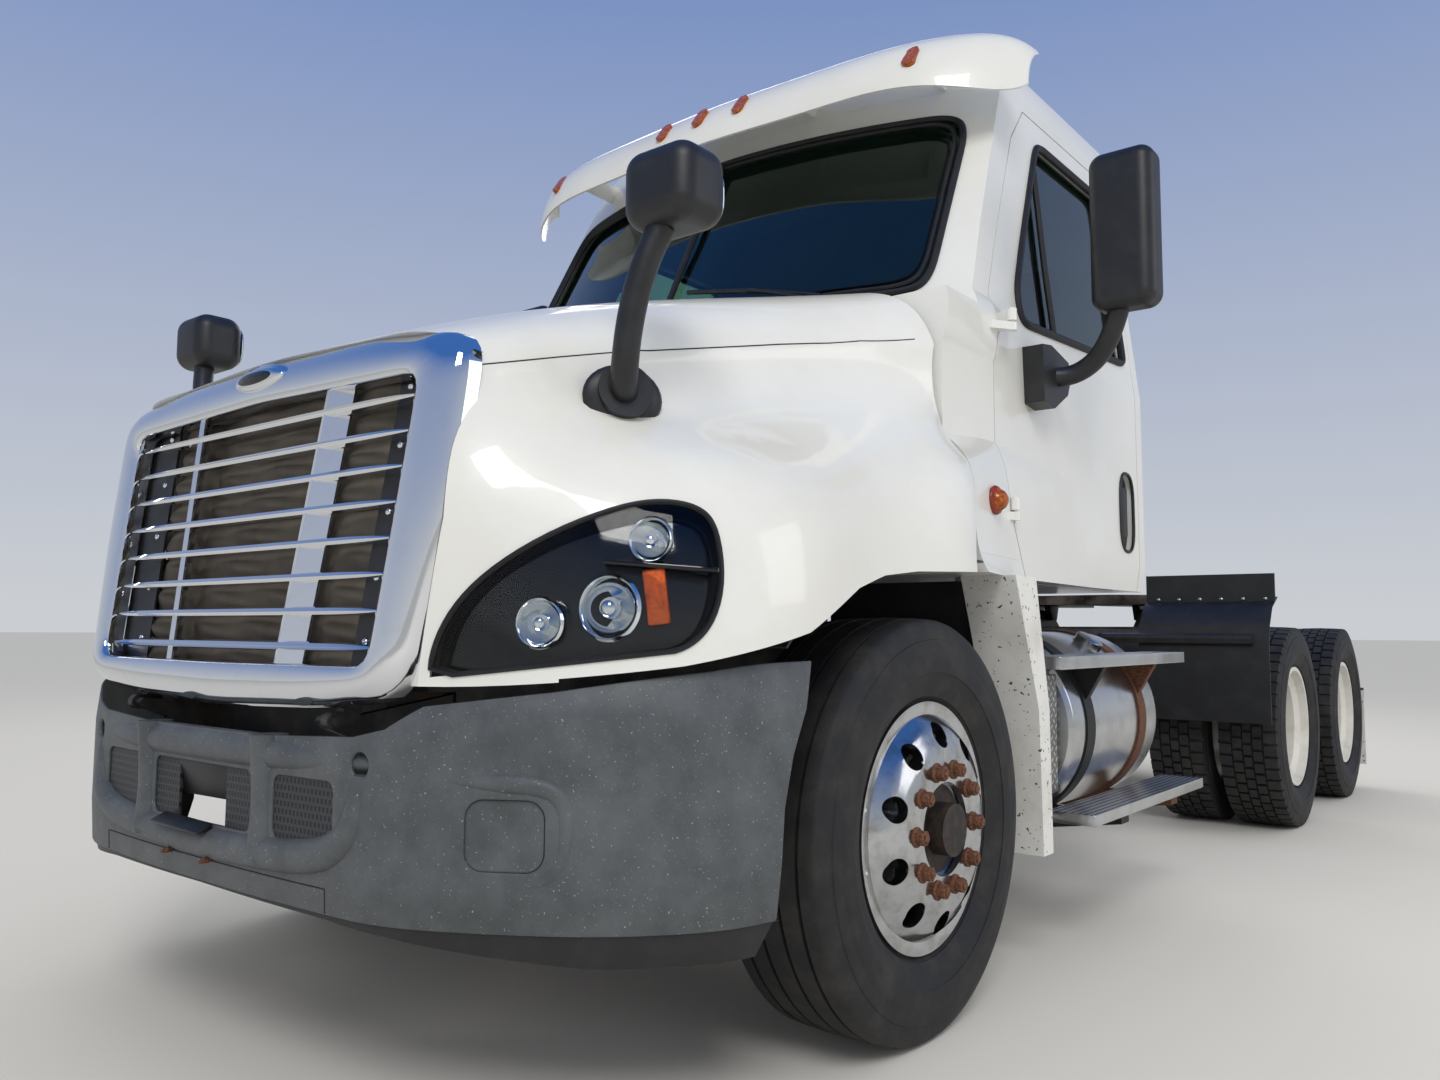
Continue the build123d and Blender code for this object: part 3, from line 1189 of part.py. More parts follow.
DOOR_MIRROR_HEAD = (1352, 940, 2212)
DOOR_MIRROR_SIZE = (200, 130, 500)
DOOR_MIRROR_ARM = [(1110, 955, 1790), (1165, 978, 1795), (1230, 985, 1830), (1290, 965, 1900), (1330, 945, 1990)]


def door_mirror(side):
    """Tall mirror head on an arm from a bracket at the front of the door."""
    head = fillet((Pos(*DOOR_MIRROR_HEAD) * Box(*DOOR_MIRROR_SIZE)).edges(), 45).solid()
    outline = [(840, 1690), (830, 1870), (900, 1880), (1040, 1850), (1060, 1800), (1030, 1740), (920, 1680)]
    bracket = along_x(outline, 1040, 1125) - cab_volume(-SEAT_GAP)
    body = head + bowed_rod(DOOR_MIRROR_ARM, 31) + max(bracket.solids(), key=lambda s: s.volume)
    return [body if side > 0 else other_side(body)]


SIDES = (("left", 1), ("right", -1))
AXLES = (("front", DRIVE_AXLES_Y[0]), ("rear", DRIVE_AXLES_Y[1]))

NODES = {
    "frame_rails": frame_rails(),
    "crossmembers": crossmembers(),
    "frame_brackets": hood_brackets() + cab_mounts() + flap_hangers(),
    "front_axle": front_axle(),
    "suspension": leaf_springs() + rear_suspension(),
    "drive_axles": drive_axles() + drive_shafts(),
    "engine": engine() + gearbox(),
    "radiator": radiator(),
    "fuel_tank": fuel_tank(),
    "tank_straps": tank_straps(),
    "steps": steps(),
    "exhaust_box": exhaust_box(),
    "tread_plate_box": tread_plate_box(),
    "air_tanks": air_tanks(),
    "fifth_wheel_base": fifth_wheel_base(),
    "fifth_wheel_plate": fifth_wheel_plate(),
    "quarter_fenders": quarter_fenders(),
    "mud_flaps": mud_flaps(),
    "bumper": bumper(),
    "air_dam": air_dam(),
    "closeout_panels": closeout_panels(),
    "cab_front": cab_front(),
    "cab_sides": cab_sides(),
    "cab_roof": cab_roof(),
    "cab_rear_wall": cab_rear_wall(),
    "cab_floor": cab_floor(),
    "cab_glass": cab_glass(),
    "dashboard": dashboard(),
    "seats": seats(),
    "steering_wheel": steering_wheel(),
    "sun_visor": sun_visor(),
    "marker_lamps": marker_lamps(),
    "hood": hood(),
    "grille_surround": grille_surround(),
    "grille_bars": grille_bars(),
    "hood_hinges": hood_hinges(),
    "headlamps": headlamps(),
    "inner_fenders": inner_fenders(),
    "hood_mirrors": hood_mirrors(),
    "tie_rod": tie_rod(),
}
for side_name, side in SIDES:
    NODES["door_" + side_name] = door(side)
    NODES["door_glass_" + side_name] = door_glass(side)
    NODES["door_mirror_" + side_name] = door_mirror(side)
    NODES["knuckle_" + side_name] = knuckle(side)
    NODES["tyre_steer_" + side_name] = [steer_wheel_place(side) * tyre()]
    NODES["rim_steer_" + side_name] = steer_rim(side)
    for axle_name, axle_y in AXLES:
        NODES["tyres_drive_" + axle_name + "_" + side_name] = dual_tyres(side, axle_y)
        NODES["rims_drive_" + axle_name + "_" + side_name] = dual_rims(side, axle_y)

os.makedirs("parts", exist_ok=True)
for name, solids in NODES.items():
    placed = [TO_MID_LENGTH * s for s in solids]
    export_step(Compound(children=placed) if len(placed) > 1 else placed[0], "parts/" + name + ".step")
    print(name, len(placed), round(sum(s.volume for s in placed) / 1e6, 2))
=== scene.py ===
import json
from math import atan2, copysign, cos, pi, radians, sin, sqrt

import bpy
from mathutils import Matrix, Vector


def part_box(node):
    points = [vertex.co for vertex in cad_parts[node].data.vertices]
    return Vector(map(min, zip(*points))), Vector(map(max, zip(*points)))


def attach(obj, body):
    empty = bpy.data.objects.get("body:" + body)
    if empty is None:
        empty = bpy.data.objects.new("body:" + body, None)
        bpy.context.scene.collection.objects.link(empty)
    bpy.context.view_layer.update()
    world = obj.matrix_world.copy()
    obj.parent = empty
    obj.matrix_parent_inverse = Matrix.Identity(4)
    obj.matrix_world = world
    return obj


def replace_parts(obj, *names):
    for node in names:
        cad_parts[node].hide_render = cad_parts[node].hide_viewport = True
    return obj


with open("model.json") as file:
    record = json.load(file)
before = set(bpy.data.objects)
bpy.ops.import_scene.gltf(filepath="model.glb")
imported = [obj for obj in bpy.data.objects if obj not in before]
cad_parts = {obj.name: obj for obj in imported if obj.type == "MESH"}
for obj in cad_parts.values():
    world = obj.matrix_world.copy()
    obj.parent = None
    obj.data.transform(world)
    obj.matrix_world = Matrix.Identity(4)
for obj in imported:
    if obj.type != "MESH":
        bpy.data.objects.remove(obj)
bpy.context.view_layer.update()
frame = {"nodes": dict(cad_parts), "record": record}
nodes = frame["nodes"]


# Studio. A plain pale floor under a soft sky, white at the horizon and blue overhead, with three soft
# boxes. Plated metal gets a horizon and a blue sky to show, and white paint keeps its shape.
def linear(hex_colour):
    """Linear colour of an sRGB hex value, for a shader's socket."""
    channels = [int(hex_colour[i:i + 2], 16) / 255 for i in (1, 3, 5)]
    return [c / 12.92 if c <= 0.04045 else ((c + 0.055) / 1.055) ** 2.4 for c in channels] + [1.0]


def add(owner, kind, inputs, **settings):
    """Add a shader node, with values or (node, output) pairs by socket, and its properties."""
    node = owner.node_tree.nodes.new("ShaderNode" + kind)
    for name, value in settings.items():
        setattr(node, name, value)
    for socket, value in inputs.items():
        if isinstance(value, tuple) and isinstance(value[0], bpy.types.ShaderNode):
            owner.node_tree.links.new(value[0].outputs[value[1]], node.inputs[socket])
        else:
            node.inputs[socket].default_value = value
    return node


def finish_of(name, colour, roughness, metallic=0.0, **sockets):
    """New material with a principled shader, its sockets set, and its shader node."""
    material = bpy.data.materials.new(name)
    material.use_nodes = True
    shader = material.node_tree.nodes["Principled BSDF"]
    shader.inputs["Base Color"].default_value = linear(colour)
    shader.inputs["Roughness"].default_value = roughness
    shader.inputs["Metallic"].default_value = metallic
    for socket, value in sockets.items():
        shader.inputs[socket.replace("_", " ")].default_value = value
    return material, shader


def started(add_primitive, **settings):
    """Add a primitive with nothing else selected, and return its object."""
    bpy.ops.object.select_all(action="DESELECT")
    add_primitive(**settings)
    return bpy.context.object


bpy.context.scene.view_settings.view_transform = "Standard"
floor = started(bpy.ops.mesh.primitive_plane_add, size=400, location=(0, 0, 0))
floor.name = "studio_floor"
floor_plain, _ = finish_of("floor_plain", "#dddbd7", 0.95, Specular_IOR_Level=0.1)
floor.data.materials.append(floor_plain)

world = bpy.data.worlds.new("studio_sky")
bpy.context.scene.world = world
world.use_nodes = True
sky_background = world.node_tree.nodes["Background"]
sky_coords = add(world, "TexCoord", {})
sky_height = add(world, "SeparateXYZ", {"Vector": (sky_coords, "Generated")})
sky_blend = add(world, "MapRange", {"Value": (sky_height, "Z"), "From Min": 0.02, "From Max": 0.7})
sky_colour = add(world, "Mix", {0: (sky_blend, "Result"), 6: linear("#dfe3e8"), 7: linear("#4a7fcf")},
                 data_type="RGBA")
# Camera, mirrored and glass rays see the sky's colour. The light on the object stays plain.
sky_paths = add(world, "LightPath", {})
sky_mirrored = add(world, "Math", {0: (sky_paths, "Is Camera Ray"), 1: (sky_paths, "Is Glossy Ray")})
sky_seen = add(world, "Math", {0: (sky_mirrored, "Value"), 1: (sky_paths, "Is Transmission Ray")},
               use_clamp=True)
sky_light = add(world, "Mix", {0: (sky_seen, "Value"), 6: linear("#eceef1"), 7: (sky_colour, 2)},
                data_type="RGBA")
world.node_tree.links.new(sky_light.outputs[2], sky_background.inputs["Color"])
sky_background.inputs["Strength"].default_value = 0.8

LAMPS = [
    # name, place, size in metres, power in watts
    ("key_softbox", (6.5, -9.0, 8.5), 4.0, 520),
    ("side_softbox", (9.0, 2.5, 4.5), 5.0, 120),
    ("rear_softbox", (-6.0, 7.0, 7.0), 6.0, 220),
]
LAMP_COLOUR = (1.0, 0.97, 0.93)
LAMPS_AIM = Vector((0, -1, 1.2))
for lamp_name, lamp_place, lamp_size, lamp_power in LAMPS:
    lamp = started(bpy.ops.object.light_add, type="AREA", location=lamp_place)
    lamp.name = lamp_name
    lamp.data.size = lamp_size
    lamp.data.energy = lamp_power
    lamp.data.color = LAMP_COLOUR
    lamp.rotation_euler = (LAMPS_AIM - Vector(lamp_place)).to_track_quat("-Z", "Y").to_euler()

CAMERA_PLACE = (2.450, -4.7215, 0.972)
CAMERA_TURN, CAMERA_TILT, CAMERA_ROLL = radians(38.98), radians(4.73), radians(0.33)
camera = started(bpy.ops.object.camera_add)
camera.name = "photo_camera"
camera.data.sensor_width = 36.0
camera.data.lens = 27.3
camera.matrix_world = (Matrix.Translation(CAMERA_PLACE) @ Matrix.Rotation(CAMERA_TURN, 4, "Z")
                       @ Matrix.Rotation(pi / 2 + CAMERA_TILT, 4, "X") @ Matrix.Rotation(CAMERA_ROLL, 4, "Z"))
bpy.context.scene.camera = camera


# Frame and running gear. Pressed and forged steel, bolted together under black chassis enamel and dulled by
# road dust in patches. Axles, knuckles and engine are sand-cast iron, rough and brown with rust.
body_of = {node: body for body, members in frame["record"]["behaviour"]["bodies"].items()
           for node in members}


def feed(material, node, output, shader, socket):
    material.node_tree.links.new(node.outputs[output], shader.inputs[socket])


def mottled(name, colour, roughness, tones, patch, cover=(0.45, 0.75), **settings):
    """New material whose colour drifts between two tones in patches of a size in metres, and its shader."""
    material, shader = finish_of(name, colour, roughness, **settings)
    place = add(material, "TexCoord", {})
    noise = add(material, "TexNoise", {"Vector": (place, "Object"), "Scale": 1 / patch, "Detail": 8.0,
                                       "Roughness": 0.65})
    amount = add(material, "MapRange", {"Value": (noise, "Fac"), "From Min": cover[0], "From Max": cover[1]})
    tone = add(material, "Mix", {0: (amount, "Result"), 6: linear(tones[0]), 7: linear(tones[1])},
               data_type="RGBA")
    feed(material, tone, 2, shader, "Base Color")
    return material, shader


def roughen(material, shader, grain, depth):
    """Fine relief with grains of a size and depth in metres."""
    place = add(material, "TexCoord", {})
    noise = add(material, "TexNoise", {"Vector": (place, "Object"), "Scale": 1 / grain, "Detail": 3.0})
    relief = add(material, "Bump", {"Height": (noise, "Fac"), "Strength": 1.0, "Distance": depth})
    feed(material, relief, "Normal", shader, "Normal")


def only(piece):
    """Select one object alone and make it active."""
    bpy.ops.object.select_all(action="DESELECT")
    piece.select_set(True)
    bpy.context.view_layer.objects.active = piece


def merged_copy(name, node):
    """Copy of a CAD node in its place, with its loose triangles joined and nothing of it selected."""
    piece = bpy.data.objects.new(name, nodes[node].data.copy())
    bpy.context.collection.objects.link(piece)
    only(piece)
    bpy.ops.mesh.customdata_custom_splitnormals_clear()
    bpy.ops.object.mode_set(mode="EDIT")
    bpy.ops.mesh.select_all(action="SELECT")
    bpy.ops.mesh.remove_doubles(threshold=0.00004)
    bpy.ops.mesh.select_all(action="DESELECT")
    bpy.ops.object.mode_set(mode="OBJECT")
    return piece


def ease_edges(piece, width):
    """Round the sharp edges of a piece by a width in metres."""
    edge = piece.modifiers.new("eased_edges", "BEVEL")
    edge.width = width
    edge.segments = 2
    edge.limit_method = "ANGLE"
    edge.angle_limit = radians(40)
    bpy.ops.object.modifier_apply(modifier=edge.name)


def skin(node, material, angle=30, bevel=0.0):
    """Piece that replaces a CAD node, smooth up to an angle in degrees, with its edges eased by a width."""
    piece = merged_copy(node + "_skin", node)
    if bevel:
        ease_edges(piece, bevel)
    bpy.ops.object.shade_smooth_by_angle(angle=radians(angle))
    piece.data.materials.clear()
    piece.data.materials.append(material)
    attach(piece, body_of[node])
    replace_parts(piece, node)
    return piece


chassis_paint, _ = mottled("chassis_black_enamel", "#17171a", 0.5, ("#17171a", "#4d463e"), 0.11)
for node in ("frame_rails", "crossmembers", "frame_brackets", "suspension", "air_tanks", "fifth_wheel_base",
             "hood_hinges", "radiator"):
    skin(node, chassis_paint)
cast_iron, iron_shader = mottled("sand_cast_iron", "#3a332d", 0.8, ("#2c2825", "#6b4128"), 0.045, (0.4, 0.7))
roughen(cast_iron, iron_shader, 0.004, 0.0006)
for node in ("front_axle", "drive_axles", "engine", "knuckle_left", "knuckle_right", "tie_rod"):
    skin(node, cast_iron)

# Fifth wheel. Cast steel top plate that rocks on its base. Trailers have worn it bright in patches, and it
# is smeared with dark grease.
greased_steel, _ = mottled("greased_cast_steel", "#4a4540", 0.4, ("#1e1b18", "#6a635b"), 0.16, (0.35, 0.6),
                           metallic=0.7)
skin("fifth_wheel_plate", greased_steel, bevel=0.003)

# Hood and cab. Moulded fibreglass and pressed panels under white polyurethane enamel with a clear coat,
# whose fine orange peel breaks up the reflections. Dust settles on it in a barely warmer tone.
white_enamel, white_shader = mottled("white_polyurethane_enamel", "#e4e5e2", 0.34, ("#e6e7e4", "#dedcd4"),
                                     0.7, (0.4, 0.75), Coat_Weight=0.7, Coat_Roughness=0.05)
roughen(white_enamel, white_shader, 0.005, 0.00003)
for node in ("hood", "cab_front", "cab_sides", "cab_roof", "cab_rear_wall", "cab_floor", "sun_visor",
             "door_left", "door_right"):
    skin(node, white_enamel, angle=26)


# Closeout panels and mud flaps. Painted sheet bolted behind the front wheels, and white rubber hung behind
# the rear ones, all speckled with dark road film.
def speckle(material, shader, colour, size, cover):
    """Scatter specks of a colour and a size in metres over the material's own tones."""
    under = shader.inputs["Base Color"].links[0].from_node
    place = add(material, "TexCoord", {})
    noise = add(material, "TexNoise", {"Vector": (place, "Object"), "Scale": 1 / size, "Detail": 2.0})
    amount = add(material, "MapRange", {"Value": (noise, "Fac"), "From Min": cover, "From Max": cover + 0.04})
    tone = add(material, "Mix", {0: (amount, "Result"), 6: (under, 2), 7: linear(colour)}, data_type="RGBA")
    feed(material, tone, 2, shader, "Base Color")


spattered_paint, spattered_shader = mottled("spattered_white_enamel", "#dcdcd8", 0.45,
                                            ("#e2e2de", "#c9c5bb"), 0.20)
speckle(spattered_paint, spattered_shader, "#3d3a36", 0.014, 0.66)
for node in ("closeout_panels", "mud_flaps"):
    skin(node, spattered_paint)

# Rubber seals and black plastic mouldings. EPDM rubber is matt, and glass-filled nylon has a fine moulded
# grain that keeps its shine low.
seal_rubber, _ = mottled("epdm_rubber", "#121213", 0.6, ("#101011", "#1f1f20"), 0.05)
black_nylon, nylon_shader = mottled("moulded_black_nylon", "#1b1c1e", 0.45, ("#191a1c", "#26272a"), 0.09)
roughen(black_nylon, nylon_shader, 0.0025, 0.00012)
for node in ("air_dam", "inner_fenders", "hood_mirrors", "door_mirror_left", "door_mirror_right", "dashboard",
             "steering_wheel"):
    skin(node, black_nylon, angle=35)

# Bumper. Three polypropylene mouldings bolted side by side, dark grey gone pale and speckled in the sun,
# with the fine grain of the mould.
bumper_plastic, bumper_shader = mottled("weathered_polypropylene", "#4d5053", 0.5, ("#44484b", "#5c6063"),
                                        0.14, (0.35, 0.7))
speckle(bumper_plastic, bumper_shader, "#9a9ea1", 0.0045, 0.69)
roughen(bumper_plastic, bumper_shader, 0.0022, 0.00015)
skin("bumper", bumper_plastic, angle=35, bevel=0.005)

# Grille surround. An ABS moulding under chrome plating, bright and smooth, clipped into the hood's opening.
# Its face swells out and then curls back to the hood.
chrome_plate, _ = mottled("chrome_plating", "#dfe1e4", 0.04, ("#e0e2e5", "#dadcdf"), 0.05, (0.55, 0.8),
                          metallic=1.0)
FRONT_AXLE_Y = 2.3175
FACE_FOOT_Y, FACE_FOOT_Z, FACE_LEAN = -1.205, 0.830, radians(7.4)


def at(x, y, z):
    """Place with y measured from the front axle, as on a maker's drawing."""
    return Vector((x, y - FRONT_AXLE_Y, z))


def on_face(x, z, back):
    """Place on the leaning grille face, a depth behind it."""
    return at(x, FACE_FOOT_Y + (z - FACE_FOOT_Z) * sin(FACE_LEAN) / cos(FACE_LEAN) + back, z)


def rounded_outline(outline, radius, steps=6):
    """Closed outline with its corners rounded off by a radius."""
    points = []
    for i, corner in enumerate(outline):
        corner, before, after = Vector(corner), Vector(outline[i - 1]), Vector(outline[(i + 1) % len(outline)])
        start = corner + (before - corner).normalized() * min(radius, (before - corner).length * 0.48)
        end = corner + (after - corner).normalized() * min(radius, (after - corner).length * 0.48)
        for step in range(steps + 1):
            t = step / steps
            points.append(start * (1 - t) ** 2 + corner * 2 * t * (1 - t) + end * t ** 2)
    return points


def whole(half):
    """Closed outline from its half at positive x."""
    return half + [(-x, z) for x, z in reversed(half) if x > 0]


def reach_of(outline, centre, angle):
    """Where a ray at an angle from the centre leaves a closed outline."""
    ray = Vector((cos(angle), sin(angle)))
    best = 0.0
    for a, b in zip(outline, outline[1:] + outline[:1]):
        edge, offset = b - a, a - centre
        cross = ray.x * edge.y - ray.y * edge.x
        if abs(cross) < 1e-9:
            continue
        along = (offset.x * edge.y - offset.y * edge.x) / cross
        share = (offset.x * ray.y - offset.y * ray.x) / cross
        if -1e-6 <= share <= 1 + 1e-6 and along > best:
            best = along
    return centre + ray * best


def outward(piece):
    """Point the faces of a closed mesh outwards."""
    only(piece)
    bpy.ops.object.mode_set(mode="EDIT")
    bpy.ops.mesh.select_all(action="SELECT")
    bpy.ops.mesh.normals_make_consistent(inside=False)
    bpy.ops.object.mode_set(mode="OBJECT")


def settle(name, material, body, bevel=0.0, angle=40):
    """Finish the active object as a piece: place, eased edges, shading, material and body."""
    piece = bpy.context.object
    piece.name = name
    only(piece)
    bpy.ops.object.transform_apply(location=True, rotation=True, scale=True)
    for modifier in list(piece.modifiers):
        bpy.ops.object.modifier_apply(modifier=modifier.name)
    if bevel:
        ease_edges(piece, bevel)
    bpy.ops.object.shade_smooth_by_angle(angle=radians(angle))
    piece.data.materials.clear()
    piece.data.materials.append(material)
    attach(piece, body)
    return piece


SURROUND_OUTER = whole([(0, 0.796), (0.420, 0.808), (0.676, 0.838), (0.730, 1.190), (0.744, 1.562),
                        (0.420, 1.596), (0, 1.608)])
SURROUND_INNER = whole([(0, 0.896), (0.596, 0.899), (0.612, 1.171), (0.630, 1.484), (0, 1.500)])
SURROUND_ROUND = 0.042
SURROUND_STEPS = 220
SURROUND_CENTRE = Vector((0.0, 1.2))
# Cross-section from the opening outwards: share of the width, and depth behind the face.
surround_section = [(0.0, 0.048), (0.0, 0.012), (0.02, 0.004), (0.07, 0.0)]
surround_section += [(t, SURROUND_ROUND * (1 - sqrt(1 - t * t)) - 0.010 * sin(pi * t) + 0.0012)
                     for t in (0.2, 0.33, 0.46, 0.58, 0.69, 0.79, 0.87, 0.93, 0.97, 1.0)]
surround_section += [(1.0, 0.074), (0.8, 0.074), (0.5, 0.058)]
outer_line = rounded_outline(SURROUND_OUTER, 0.085)
inner_line = rounded_outline(SURROUND_INNER, 0.045)
surround = started(bpy.ops.mesh.primitive_torus_add, major_segments=SURROUND_STEPS,
                   minor_segments=len(surround_section))
for i in range(SURROUND_STEPS):
    angle = 2 * pi * i / SURROUND_STEPS
    inner, outer = (reach_of(line, SURROUND_CENTRE, angle) for line in (inner_line, outer_line))
    for j, (share, back) in enumerate(surround_section):
        x, z = inner + (outer - inner) * share
        surround.data.vertices[i * len(surround_section) + j].co = on_face(x, z, back)
outward(surround)
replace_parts(settle("plated_surround", chrome_plate, "hood", angle=50), "grille_surround")


# Nameplate. A blank oval of black enamel in a plated rim, on a raised bed over the middle of the grille,
# glossy and slightly domed.
def dome(name, radius, depth, place, axis, material, body, sides=20):
    """Low round head, such as a bolt's or a lamp's, that faces along an axis."""
    head = started(bpy.ops.mesh.primitive_uv_sphere_add, segments=sides, ring_count=8, radius=1.0,
                   location=place)
    head.scale = (radius, radius, depth)
    head.rotation_euler = Vector(axis).to_track_quat("Z", "Y").to_euler()
    return settle(name, material, body, angle=60)


plate_enamel, _ = mottled("black_vitreous_enamel", "#131417", 0.2, ("#111215", "#1d1e22"), 0.02)
NAMEPLATE_OVALS = [
    # name, depth behind the face, width, thickness and height in metres, material
    ("bed", 0.006, (0.250, 0.040, 0.074), chrome_plate),
    ("rim", 0.0, (0.220, 0.044, 0.058), chrome_plate),
    ("blank", -0.004, (0.192, 0.040, 0.044), plate_enamel),
]
for part, back, size, material in NAMEPLATE_OVALS:
    oval = dome("nameplate_" + part, 0.5, 0.5, (0, 0, 0), (0, -1, 0), material, "hood", sides=40)
    oval.data.transform(Matrix.Translation(on_face(0.0, 1.556, back)) @ Matrix.Rotation(-FACE_LEAN, 4, "X")
                        @ Matrix.Diagonal((*size, 1.0)))


# Grille bars and straps. Eight plated blades, drawn out to a point at each end, cross two straps of thin
# plated sheet whose faces slant back towards the sides.
def tube(name, points, radius, material, body, closed=False, smooth=True, shares=None):
    """Round bar or bead along a line through points, thinned at each point to its share of the radius."""
    line = started(bpy.ops.curve.primitive_nurbs_path_add)
    line.data.splines.clear()
    spline = line.data.splines.new("NURBS" if smooth else "POLY")
    spline.points.add(len(points) - 1)
    for point, place, share in zip(spline.points, points, shares or [1.0] * len(points)):
        point.co = (*place, 1.0)
        point.radius = share
    if smooth:
        spline.order_u = 3
        spline.use_endpoint_u = not closed
        spline.resolution_u = 6
    spline.use_cyclic_u = closed
    line.data.bevel_depth = radius
    line.data.bevel_resolution = 6 if radius > 0.02 else 2
    line.data.use_fill_caps = True
    bpy.ops.object.convert(target="MESH")
    return settle(name, material, body)


def panel(name, points, depth, material, body, bevel=0.0):
    """Flat plate whose outline runs through points, with its thickness as a vector."""
    plate = started(bpy.ops.mesh.primitive_circle_add, vertices=len(points), radius=1.0, fill_type="NGON")
    for vertex, place in zip(plate.data.vertices, points):
        vertex.co = place
    bpy.ops.object.mode_set(mode="EDIT")
    bpy.ops.mesh.select_all(action="SELECT")
    bpy.ops.mesh.extrude_region_move(TRANSFORM_OT_translate={"value": depth})
    bpy.ops.object.mode_set(mode="OBJECT")
    outward(plate)
    return settle(name, material, body, bevel)


def joined(name, pieces):
    """One piece from several that ride on the same body."""
    bpy.ops.object.select_all(action="DESELECT")
    for piece in pieces:
        piece.select_set(True)
    bpy.context.view_layer.objects.active = pieces[0]
    bpy.ops.object.join()
    pieces[0].name = name
    return pieces[0]


SIDES = (("left", 1), ("right", -1))
BAR_COUNT, BAR_FIRST_Z, BAR_PITCH = 8, 0.934, 0.0727
BAR_BACK, BAR_RADIUS, BAR_STRETCH = 0.027, 0.0105, 1.9
blades = []
for number in range(BAR_COUNT):
    bar_z = BAR_FIRST_Z + BAR_PITCH * number
    reach = 0.588 + (bar_z - 0.899) * 0.058
    stations = [-reach, -reach + 0.055, -0.3, 0.0, 0.3, reach - 0.055, reach]
    blade = tube("grille_blade", [on_face(x, bar_z, BAR_BACK) for x in stations], BAR_RADIUS, chrome_plate,
                 "hood", shares=[0.12, 0.85, 1.0, 1.0, 1.0, 0.85, 0.12])
    middle_y = on_face(0, bar_z, BAR_BACK).y
    for vertex in blade.data.vertices:
        vertex.co.y = middle_y + (vertex.co.y - middle_y) * BAR_STRETCH
    blades.append(blade)
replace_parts(joined("grille_blades", blades), "grille_bars")
# Plan of a strap: x at its foot, and depth behind the face.
STRAP_PLAN = [(0.236, 0.016), (0.252, 0.012), (0.298, 0.046), (0.286, 0.052)]
STRAP_FOOT_Z, STRAP_HEAD_Z, STRAP_SPLAY = 0.897, 1.500, 0.043
for side, s in SIDES:
    foot = [on_face(s * x, STRAP_FOOT_Z, back) for x, back in STRAP_PLAN]
    head = [on_face(s * (x + STRAP_SPLAY), STRAP_HEAD_Z, back) for x, back in STRAP_PLAN]
    faces = [(foot[i], foot[i + 1], head[i + 1], head[i]) for i in range(3)]
    joined("grille_strap_" + side, [panel("grille_strap", corners, (0, 0.005, 0), chrome_plate, "hood")
                                    for corners in faces])

# Insect screen. Brown-grey fibreglass mesh stretched behind the bars, bellied out in every bay, between
# black side plates that are held by domed bolts.
screen_mesh, screen_shader = finish_of("fibreglass_insect_mesh", "#4a443d", 0.85)
screen_place = add(screen_mesh, "TexCoord", {})
screen_fit = add(screen_mesh, "Mapping", {"Vector": (screen_place, "Object"), "Scale": (1.0, 0.0, 1.0)})
# The real threads lie 1.5 mm apart, too fine to show, so they are drawn 5 mm apart.
# The gaps between the threads are painted near-black, partly for the radiator's own black behind them and partly
# as painted shade.
screen_threads_and_gap_shade = add(screen_mesh, "TexBrick", {
    "Vector": (screen_fit, "Vector"), "Scale": 1.0, "Brick Width": 0.005, "Row Height": 0.005,
    "Mortar Size": 0.0012, "Color1": linear("#171513"), "Color2": linear("#262220"),
    "Mortar": linear("#756d62")}, offset=0.0)
screen_dirt = add(screen_mesh, "TexNoise", {"Vector": (screen_place, "Object"), "Scale": 14.0, "Detail": 6.0})
screen_tone = add(screen_mesh, "Mix", {0: (screen_dirt, "Fac"), 6: (screen_threads_and_gap_shade, "Color"),
                                       7: linear("#4b443c")}, data_type="RGBA")
feed(screen_mesh, screen_tone, 2, screen_shader, "Base Color")
SCREEN_WIDTH, SCREEN_HEIGHT, SCREEN_MIDDLE_Z = 1.02, 0.60, 1.196
# Start and width of the bays outside the right strap, between the straps, and outside the left one.
SCREEN_BAYS = ((-0.51, 0.21), (-0.30, 0.60), (0.30, 0.21))
bellied = started(bpy.ops.mesh.primitive_grid_add, x_subdivisions=110, y_subdivisions=150, size=1.0)
for vertex in bellied.data.vertices:
    x, z = vertex.co.x * SCREEN_WIDTH, SCREEN_MIDDLE_Z + vertex.co.y * SCREEN_HEIGHT
    row = (z - BAR_FIRST_Z) / BAR_PITCH
    bay_start, bay_width = SCREEN_BAYS[(x >= -0.30) + (x >= 0.30)]
    bay = (x - bay_start) / bay_width
    belly = abs(sin(pi * row)) ** 0.7 * abs(sin(pi * min(max(bay, 0.0), 1.0))) ** 0.35
    wave = 0.006 * sin(23 * x + 5 * row) * abs(sin(pi * row))
    vertex.co = on_face(x, z, 0.092 - 0.034 * belly + wave)
settle("insect_screen", screen_mesh, "hood", angle=80)
PLATE_MIDDLE_Z, PLATE_SPLAY = 1.195, 0.06
for side, s in SIDES:
    plate = started(bpy.ops.mesh.primitive_cube_add, size=1)
    for vertex in plate.data.vertices:
        x, y, z = vertex.co
        level = PLATE_MIDDLE_Z + z * 0.60
        edge = 0.555 + (level - PLATE_MIDDLE_Z) * PLATE_SPLAY
        vertex.co = on_face(s * (edge + copysign(0.075, x)), level, 0.060 + y * 0.006)
    outward(plate)
    settle("grille_side_plate_" + side, black_nylon, "hood")
    for number, bolt_z in enumerate((0.945, 1.075, 1.21, 1.35, 1.475)):
        bolt_x = 0.520 + (bolt_z - PLATE_MIDDLE_Z) * PLATE_SPLAY
        dome(f"grille_bolt_{side}_{number}", 0.009, 0.007, on_face(s * bolt_x, bolt_z, 0.056),
             (0.0, -cos(FACE_LEAN), sin(FACE_LEAN)), chrome_plate, "hood", sides=12)


